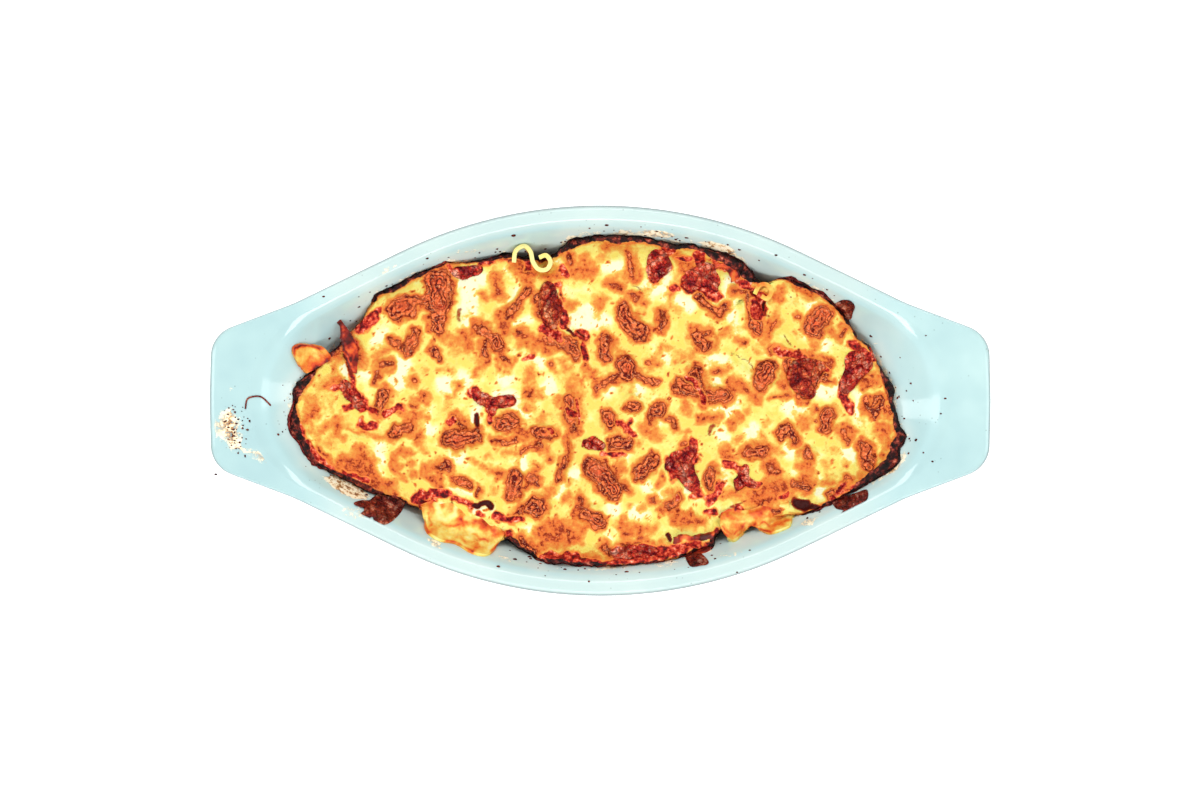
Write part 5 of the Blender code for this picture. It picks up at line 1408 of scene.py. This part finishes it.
def make_dish():
    under = HEIGHT - RIM_THICKNESS
    rings = [(0.0, 0.0, 0.0)]
    rings += [oval_ring(lambda angle, inset=inset: floor_distance(angle) - inset, height)
              for inset, height in ((10.0, 0.0), (1.0, 0.0), (-0.3, 0.25))]
    rings += [outer_wall_ring(height) for height in
              (0.9, 1.6, 2.6, 4.5, 7.5, 11.0, 15.0, 20.0, 26.0, 32.0, 38.0, 42.0, 45.0)]
    # The outer wall runs out into the underside of the rim.
    rings.append(oval_ring(lambda angle: wall_distance(angle, under) + WALL_SHIFT, 47.4))
    rings.append(oval_ring(
        lambda angle: 0.7 * wall_distance(angle, under + 1) + 0.3 * distance_to(RIM, angle) + 2.2,
        49.3))
    rings.append(rim_ring(RIM_ROUNDING, under))
    for turn in np.linspace(-80, 78, 9):
        angle = math.radians(turn)
        rings.append(rim_ring(RIM_ROUNDING * (1 - math.cos(angle)),
                              under + RIM_THICKNESS / 2 + RIM_THICKNESS / 2 * math.sin(angle)))
    rings.append(rim_ring(2.9, HEIGHT - 0.05))
    rings.append(oval_ring(
        lambda angle: 0.5 * (distance_to(RIM, angle) - 3.2 + distance_to(MOUTH, angle)),
        RIM_LEVEL))
    rings += [inner_wall_ring(share, height) for share, height in FINE_PROFILE[:-1]]
    rings += [oval_ring(lambda angle, part=part: floor_distance(angle) * part, 6.7)
              for part in (0.98, 0.9, 0.5)]
    rings.append((0.0, 0.0, FLOOR_THICKNESS))
    fields = {
        "thin": rim_edge_painted_shade_at, "film": film_at, "grip": grip_painted_shade_at, "steep_painted_light": steep_painted_light_at, "near": painted_light_near_food_at,
        "outside": lambda x, y, z: np.where(inner_at(x, y, z), 0.0, 1.0),
        "bare": lambda x, y, z: fade(0.1, 0.4, z),
    }
    finish_piece("dish_glazed", turned(rings, DISH_STEPS), GLAZE, "glazed_stoneware", ("dish",),
                 fields)


# ------------------------------------------------------------------ filling and cheese
def chunk_rise(x, y):
    rise = 0.0
    for cx, cy, size, height in CHUNKS:
        rise = rise + height * bell(np.hypot(x - cx, y - cy), size * 0.55)
    return rise


def surface_height(x, y):
    """The top of the lasagna: cheese, and crust where it caught on the dish."""
    crust = np.maximum(edge_height(np.arctan2(y, x)), wall_height(x, y) + 0.4) + chunk_rise(x, y)
    crust = crust + 0.3 + 0.9 * rough(x, y, 3.2) + 0.4 * rough(x, y + 9, 1.6, 2)
    at_edge = fade(0.0, 3.5, inside_food(x, y) - burnt_width(x, y))
    height = cheese_height(x, y)
    return height + at_edge * (crust - height)


def ragged_edge(angle):
    """The burnt edge with its small crags."""
    reach = food_distance(angle)
    x, y = spot_at(angle, reach)
    reach = reach + 0.9 * rough(x, y, 6.0) + 0.7 * rough(x + 20, y, 2.2) - 0.3
    for cx, cy, size, rise in CHUNKS:
        reach = reach + 0.45 * rise * bell(np.hypot(x - cx, y - cy), size * 0.6)
    return np.minimum(reach, wall_distance(angle, EDGE_HIGH + 1) - 0.2)


def foot_height(x, y):
    """Where the burnt edge meets the dish, or hangs down where it doesn't."""
    return np.clip(wall_height(x, y) + 0.4, FILLING_TOP - 7.0, EDGE_HIGH)


def filling_side(share):
    """Ring on the filling's side, this share of the way up from its floor to its edge."""
    def ring(turns):
        angle = oval_angle(turns)
        reach = ragged_edge(angle)
        top = foot_height(*spot_at(angle, reach)) - 0.8
        height = FILLING_BOTTOM + share * (top - FILLING_BOTTOM)
        reach = np.minimum(wall_distance(angle, height) - 0.4, reach)
        return (*spot_at(angle, reach), height)
    return ring


def filling_crest(inset, rise):
    """Ring on the burnt crest, inset from the edge and this share of the way up it."""
    def ring(turns):
        angle = oval_angle(turns)
        x, y = spot_at(angle, ragged_edge(angle) - inset)
        foot = foot_height(x, y)
        top = np.maximum(edge_height(angle), foot) + chunk_rise(x, y)
        crag = (0.9 * rough(x, y, 3.2) + 0.5 * rough(x, y + 9, 1.6, 2)) * min(1.0, 3 * rise)
        height = foot + rise * (top - foot) + crag - 0.6 * smooth_step(1.0, 2.5, inset)
        under_cheese = surface_height(x, y) - 0.9 * smooth_step(0.5, 2.0, inset)
        return x, y, np.minimum(height, under_cheese)
    return ring


def make_filling():
    rings = [(0.0, 0.0, FILLING_BOTTOM)]
    rings += [filling_side(share) for share in (0.0, 0.1, 0.25, 0.45, 0.65, 0.8, 0.9, 0.97)]
    rings += [filling_crest(inset, rise) for inset, rise in (
        (0.1, 0.0), (0.5, 0.22), (1.0, 0.44), (1.6, 0.64), (2.3, 0.80), (3.1, 0.92), (4.0, 0.97),
        (5.0, 0.92), (6.2, 0.8))]
    rings.append(oval_ring(lambda angle: crust_foot(angle) - 6.0, FILLING_TOP))
    rings.append((0.0, 0.0, FILLING_TOP))
    fields = {"burnt": flat(char_at), "maroon": flat(maroon_at)}
    finish_piece("filling_burnt_edge", turned(rings, FILLING_STEPS), CHAR, "baked_filling",
                 ("filling",), fields)


def make_cheese():
    def place(u, v):
        turn, share = disc(u, v)
        angle = oval_angle(turn)
        x, y = spot_at(angle, share * (ragged_edge(angle) - 0.9))
        return x, y, surface_height(x, y) - 1.2 * smooth_step(0.988, 1.0, share)

    def bottom(spot):
        angle = math.atan2(spot.y, spot.x)
        reach = min(math.hypot(spot.x, spot.y), float(crust_foot(angle)) + 1.0)
        return Vector((reach * math.cos(angle), reach * math.sin(angle), FILLING_TOP + 0.4))

    fields = {
        "toast": flat(toast_at), "white": flat(white_at), "sauce": flat(sauce_at),
        "char": flat(char_at), "crack_painted_shade": flat(crack_painted_shade_at), "inward": flat(inward_at),
    }
    mesh = grid_body(*CHEESE_CELLS, place, bottom)
    finish_piece("cheese_top", mesh, CHEESE, "melted_cheese", ("cheese_crust",), fields)


# ------------------------------------------------------------------ sauce and drips
def inside_outline(middle, angle, reach, share):
    """Share of the way from a middle out to its outline, which stays under the dish's lip."""
    x, y = middle[0] + reach * np.cos(angle), middle[1] + reach * np.sin(angle)
    pull = np.minimum(1.0, wall_distance(np.arctan2(y, x), DRIP_HIGH) / np.hypot(x, y))
    return (middle[0] + share * (x * pull - middle[0]), middle[1] + share * (y * pull - middle[1]))


def lumps(x, y, size):
    """Rounded lumps of uneven size that crowd each other, between 0 and 1."""
    x, y = x + 0.3 * size * waves(x, y, size), y + 0.3 * size * waves(x + 50, y, size)
    near, second, number = cells(x, y, 1.3 * size)
    large = np.clip(1 - (near / size) ** 2, 0.0, 1.0) * smooth_step(0.0, 0.9, second - near)
    near, second, _ = cells(x + 70, y, 0.6 * size)
    small = np.clip(1 - (near / (0.5 * size)) ** 2, 0.0, 1.0)
    small = small * smooth_step(0.0, 0.4, second - near)
    return large * (0.4 + 0.6 * number) * (0.55 + 0.45 * small)


def lumpy_piece(name, look, slot, cell_count, lump_size, place, low):
    def bottom(spot):
        return Vector((spot.x, spot.y, min(float(low(spot.x, spot.y)), spot.z - 0.5)))

    mesh = grid_body(cell_count, cell_count, place, bottom)
    fields = {"high": lambda x, y, z: lumps(x, y, lump_size)}
    finish_piece(name + "_lumps", mesh, look, slot, (name,), fields)


def make_sauce(piece):
    meat = piece.name.startswith("meat")
    look, slot, lump_size = (
        (MEAT, "browned_meat", 3.4) if meat else (SAUCE, "tomato_sauce", 3.0))
    half_length, half_width = piece.size[0] / 2 + SAUCE_LAP, piece.size[1] / 2 + SAUCE_LAP
    cos, sin = math.cos(piece.turn), math.sin(piece.turn)

    def place(u, v):
        turns, share = disc(u, v)
        x, y = half_length * np.cos(turns), half_width * np.sin(turns)
        x, y = x * cos - y * sin, x * sin + y * cos
        angle = np.arctan2(y, x)
        reach = lobed_reach(angle, np.hypot(x, y), piece)
        x, y = inside_outline(piece.middle, angle, reach, share)
        ragged = 1 + 0.16 * share ** 2 * rough(x, y, 4.0)
        x = piece.middle[0] + (x - piece.middle[0]) * ragged
        y = piece.middle[1] + (y - piece.middle[1]) * ragged
        crown = 1 - share ** 2.5
        relief = 2.0 * lumps(x, y, lump_size) + 0.35 * rough(x, y, 1.7) - 0.3
        base = food_height(x, y) - SAUCE_SUNK
        return x, y, base + piece.rise * crown + relief * (0.25 + 0.75 * crown)
    lumpy_piece(piece.name, look, slot, SAUCE_CELLS, lump_size, place, piece_bottom)


def make_drip(name, middle, rise, outline):
    points = smooth_profile((*outline, outline[0]), 6)
    border = polar(points[:-1] - np.array(middle))

    def base(x, y):
        return np.maximum(wall_height(x, y), FILLING_TOP) + 0.3

    def low(x, y):
        return base(x, y) - 0.3

    def place(u, v):
        turns, share = disc(u, v)
        x, y = inside_outline(middle, turns, distance_to(border, turns), share)
        crown = np.sqrt(1 - share ** 3)
        relief = 1.1 * lumps(x, y, DRIP_LUMP) + 0.3 * rough(x, y, 1.7) - 0.2
        height = base(x, y) + (0.2 + 0.35 * rise) * crown + relief * (0.1 + 0.9 * crown)
        return x, y, np.minimum(height, HEIGHT - 0.2)
    lumpy_piece(name, BURNT, "burnt_sauce", DRIP_CELLS, DRIP_LUMP, place, low)


# ------------------------------------------------------------------ pasta
def smooth_line(points, steps):
    line = smooth_profile(points, 12)
    walked = np.concatenate(([0.0], np.cumsum(np.linalg.norm(np.diff(line, axis=0), axis=1))))
    even = np.linspace(0.0, walked[-1], steps)
    return np.column_stack([np.interp(even, walked, line[:, axis]) for axis in (0, 1)])


def pasta_body(rows, border_offset, centred):
    """Closed piece of pasta with a rounded border, from rows of places.

    The rows run along its upper face, or through its middle where it is centred on them.
    """
    places = np.array(rows)
    last_row, last_column = places.shape[0] - 1, places.shape[1] - 1
    mesh = bmesh.new()
    bmesh.ops.create_grid(mesh, x_segments=last_column, y_segments=last_row, size=1.0)
    for vert in mesh.verts:
        vert.co = places[round((vert.co.y + 1) / 2 * last_row),
                         round((vert.co.x + 1) / 2 * last_column)]
    bmesh.ops.recalc_face_normals(mesh, faces=mesh.faces)
    if centred:
        moves = [vert.normal * (PASTA_THICKNESS / 2) for vert in mesh.verts]
        for vert, move in zip(mesh.verts, moves):
            vert.co += move
    elif sum(face.normal.z for face in mesh.faces) < 0:
        bmesh.ops.reverse_faces(mesh, faces=mesh.faces)
    bmesh.ops.solidify(mesh, geom=list(mesh.faces), thickness=PASTA_THICKNESS)
    border = [edge for edge in mesh.edges if edge.is_manifold and edge.calc_face_angle(0) > 1.0]
    bmesh.ops.bevel(mesh, geom=border, offset=border_offset, segments=3, profile=0.5,
                    affect="EDGES", material=-1, clamp_overlap=True)
    return mesh


def line_far(x, y, line):
    far = np.full_like(x, 99.0)
    for start, finish in zip(line, line[1:]):
        far = np.minimum(far, line_distance(x, y, start, finish))
    return far


def pasta_toast(x, y, outer, inner):
    """How brown a sheet is: most where it comes out of the sauce, and at its very border."""
    toast = 0.32 + 0.34 * bell(line_far(x, y, inner), 5.0)
    toast = toast + 0.42 * rough(x, y, 6.0) + 0.22 * rough(x + 8, y, 2.2)
    toast = toast + 0.45 * bell(line_far(x, y, outer), 0.7)
    wx, wy = x + 1.5 * waves(x, y, 3.0), y + 1.5 * waves(x + 50, y, 3.0)
    uneven = 0.72 + 0.4 * rough(x + 3, y, 2.6)
    toast = np.maximum(toast, uneven * strokes_at(wx, wy, PASTA_DARKS, 0.7, 0.4, 0.4))
    return toast * (1 - strokes_at(wx, wy, PASTA_PALES, 0.5, 0.5, 0.6))


def make_ruffle(name, points, top, brown):
    """A ruffled edge that stands up: a band along its line, with a slightly uneven top."""
    line = smooth_line(points, 70)
    x, y = line.T
    lean = 0.35 * np.sin(np.linspace(0, 5, len(line)))
    ripple = np.sin(np.linspace(0.0, 9.0, len(line)))
    rows = []
    for share in np.linspace(0.0, 1.0, 12):
        height = piece_bottom(x, y) * (1 - share) + top * share + share * 0.35 * ripple
        rows.append(np.column_stack((x + lean * share, y + lean * share, height)))
    fields = {"toast": lambda x, y, z: np.clip(
        brown - 0.14 * (z - PIECE_BOTTOM) + 0.25 * rough(x, y, 4.0), 0.0, 1.0)}
    finish_piece(name + "_band", pasta_body(rows, RUFFLE_ROUNDING, True), PASTA, "pasta",
                 (name,), fields)


def make_sheet(name, outer, inner, heights, wave_count, wave_height, tuck, extra_toast):
    """A sheet from its outer border to its inner one, whose edge may dip under the cheese."""
    along, across = 110, 40
    outer_line, inner_line = smooth_line(outer, along), smooth_line(inner, along)
    walked = np.linspace(0.0, 1.0, along)
    phase = 2 * math.pi * wave_count * walked
    end = np.clip(np.minimum(walked, 1 - walked) / 0.10, 0.0, 1.0)
    rounding = np.sqrt(1 - (1 - end) ** 2)[:, None]
    rows = []
    for share in np.linspace(0.0, 1.0, across):
        out = 1 - share
        plan = inner_line + (outer_line - inner_line) * (out * (0.45 + 0.55 * rounding))
        x, y = plan[:, 0], plan[:, 1]
        height = heights[0] * out + heights[1] * share
        height = height + wave_height * (0.4 + 0.6 * out) * np.sin(phase + 1.2 * share)
        height = height + 0.7 * out ** 3 * np.sin(3.7 * phase + 1.0) + 0.8 * rough(x, y, 5.0)
        height = height - tuck * smooth_step(0.72, 1.0, share)
        floor = wall_height(x, y) + WALL_GAP + PASTA_THICKNESS + 0.1
        rows.append(np.column_stack((x, y, np.maximum(height, floor))))
    fields = {"toast": lambda x, y, z: np.clip(
        pasta_toast(x, y, outer, inner) + extra_toast, 0.0, 1.0)}
    finish_piece(name + "_sheet", pasta_body(rows, SHEET_ROUNDING, False), PASTA, "pasta",
                 (name,), fields)


# ------------------------------------------------------------------ specks on the dish
def glaze_height(x, y):
    """Height of the dish's upper face, on the wall and on the rim."""
    inside = distance_to(MOUTH, math.atan2(y, x)) > math.hypot(x, y)
    return float(wall_height(x, y)) if inside else RIM_LEVEL


def make_specks():
    """Burnt crumbs stuck to the dish round the food and on its left grip, as one piece."""
    draw = np.random.default_rng(5)
    mesh = bmesh.new()
    spots = list(LONE_SPECKS)
    for _ in range(120):
        angle = draw.uniform(-math.pi, math.pi)
        reach = float(ragged_edge(angle)) + 0.6 + abs(draw.normal(0.0, 2.4))
        reach = min(reach, float(distance_to(MOUTH, angle)) + 2.0)
        size = draw.uniform(0.25, 0.75)
        spots.append((reach * math.cos(angle), reach * math.sin(angle), size))
    for _ in range(90):
        spots.append((max(-177.0, draw.normal(-169.5, 4.0)), draw.normal(-15, 7.0),
                      draw.uniform(0.2, 0.55)))
    for x, y, size in spots:
        made = bmesh.ops.create_icosphere(mesh, subdivisions=1, radius=size)["verts"]
        stretch = Vector((draw.uniform(0.8, 1.7), draw.uniform(0.7, 1.1), SPECK_FLATNESS))
        bmesh.ops.scale(mesh, vec=stretch, verts=made)
        height = min(glaze_height(x, y) + 0.05, HEIGHT - 0.1 - SPECK_FLATNESS * size)
        bmesh.ops.translate(mesh, vec=(x, y, height), verts=made)
    fields = {"high": lambda x, y, z: 0.0 * x}
    finish_piece("burnt_specks", mesh, BURNT, "burnt_sauce", (), fields)


def make_thread():
    """A dried thread of cheese on the left grip."""
    line = smooth_line(THREAD, 26)
    curve = bpy.data.curves.new("thread", "CURVE")
    curve.dimensions = "3D"
    curve.bevel_depth = THREAD_RADIUS * MM
    curve.bevel_resolution = 3
    curve.use_fill_caps = True
    spline = curve.splines.new("POLY")
    spline.points.add(len(line) - 1)
    for point, (x, y) in zip(spline.points, line):
        point.co = (x * MM, y * MM, (glaze_height(x, y) + 0.15) * MM, 1.0)
    drawn = add_object("thread_curve", curve)
    bpy.context.view_layer.update()
    mesh = bmesh.new()
    mesh.from_mesh(drawn.to_mesh())
    bpy.data.objects.remove(drawn, do_unlink=True)
    bmesh.ops.scale(mesh, vec=(1 / MM,) * 3, verts=mesh.verts)
    finish_piece("dried_thread", mesh, BURNT, "burnt_sauce", (),
                 {"high": lambda x, y, z: 0.4 + 0.0 * x})


# ------------------------------------------------------------------ stage, light and camera
CAMERA_HEIGHT = 1.800          # above the rim, m
FIELD_WIDTH = 0.5524           # what the frame spans at the rim, m
FRAME_OFFSET = (-0.0001, 0.0003)
WHITE = (1.0, 1.0, 1.0, 1.0)


def make_floor():
    mesh = bmesh.new()
    bmesh.ops.create_grid(mesh, x_segments=1, y_segments=1, size=3.0)
    data = bpy.data.meshes.new("floor")
    mesh.to_mesh(data)
    mesh.free()
    made, _, shader = new_material("pale_floor")
    shader.inputs["Base Color"].default_value = (0.92, 0.92, 0.92, 1.0)
    shader.inputs["Roughness"].default_value = 0.9
    shader.inputs["Emission Color"].default_value = WHITE
    shader.inputs["Emission Strength"].default_value = 0.55
    data.materials.append(made)
    add_object("floor", data)


def add_light(name, place, size, power):
    light = bpy.data.lights.new(name, "AREA")
    light.shape = "RECTANGLE"
    light.size, light.size_y = size
    light.energy = power
    holder = add_object(name, light)
    holder.location = place
    holder.rotation_euler = (-Vector(place)).to_track_quat("-Z", "Y").to_euler()


def make_lights():
    world = bpy.data.worlds.new("studio")
    world.use_nodes = True
    sky = world.node_tree.nodes["Background"]
    sky.inputs["Color"].default_value = WHITE
    sky.inputs["Strength"].default_value = 0.62
    bpy.context.scene.world = world
    add_light("window_left", (-1.05, 0.10, 0.70), (0.3, 1.2), 4.0)
    add_light("window_right", (1.05, -0.10, 0.70), (0.3, 1.2), 3.4)
    add_light("high_back", (0.0, 0.80, 0.90), (1.2, 0.3), 6.4)
    add_light("high_front", (0.0, -0.80, 0.90), (1.2, 0.3), 8.0)


def make_camera():
    data = bpy.data.cameras.new("overhead")
    data.sensor_width = 36.0
    data.lens = data.sensor_width * CAMERA_HEIGHT / FIELD_WIDTH
    camera = add_object("overhead", data)
    camera.location = (*FRAME_OFFSET, CAMERA_HEIGHT + HEIGHT * MM)
    bpy.context.scene.camera = camera


# ------------------------------------------------------------------ the whole
make_camera()
make_dish()
make_filling()
make_cheese()
for sauce_piece in SAUCES:
    make_sauce(sauce_piece)
for drip in DRIPS:
    make_drip(*drip)
for ruffle in RUFFLES:
    make_ruffle(*ruffle)
for sheet in SHEETS:
    make_sheet(*sheet)
make_specks()
make_thread()
make_floor()
make_lights()
bpy.context.scene.view_settings.view_transform = "Standard"
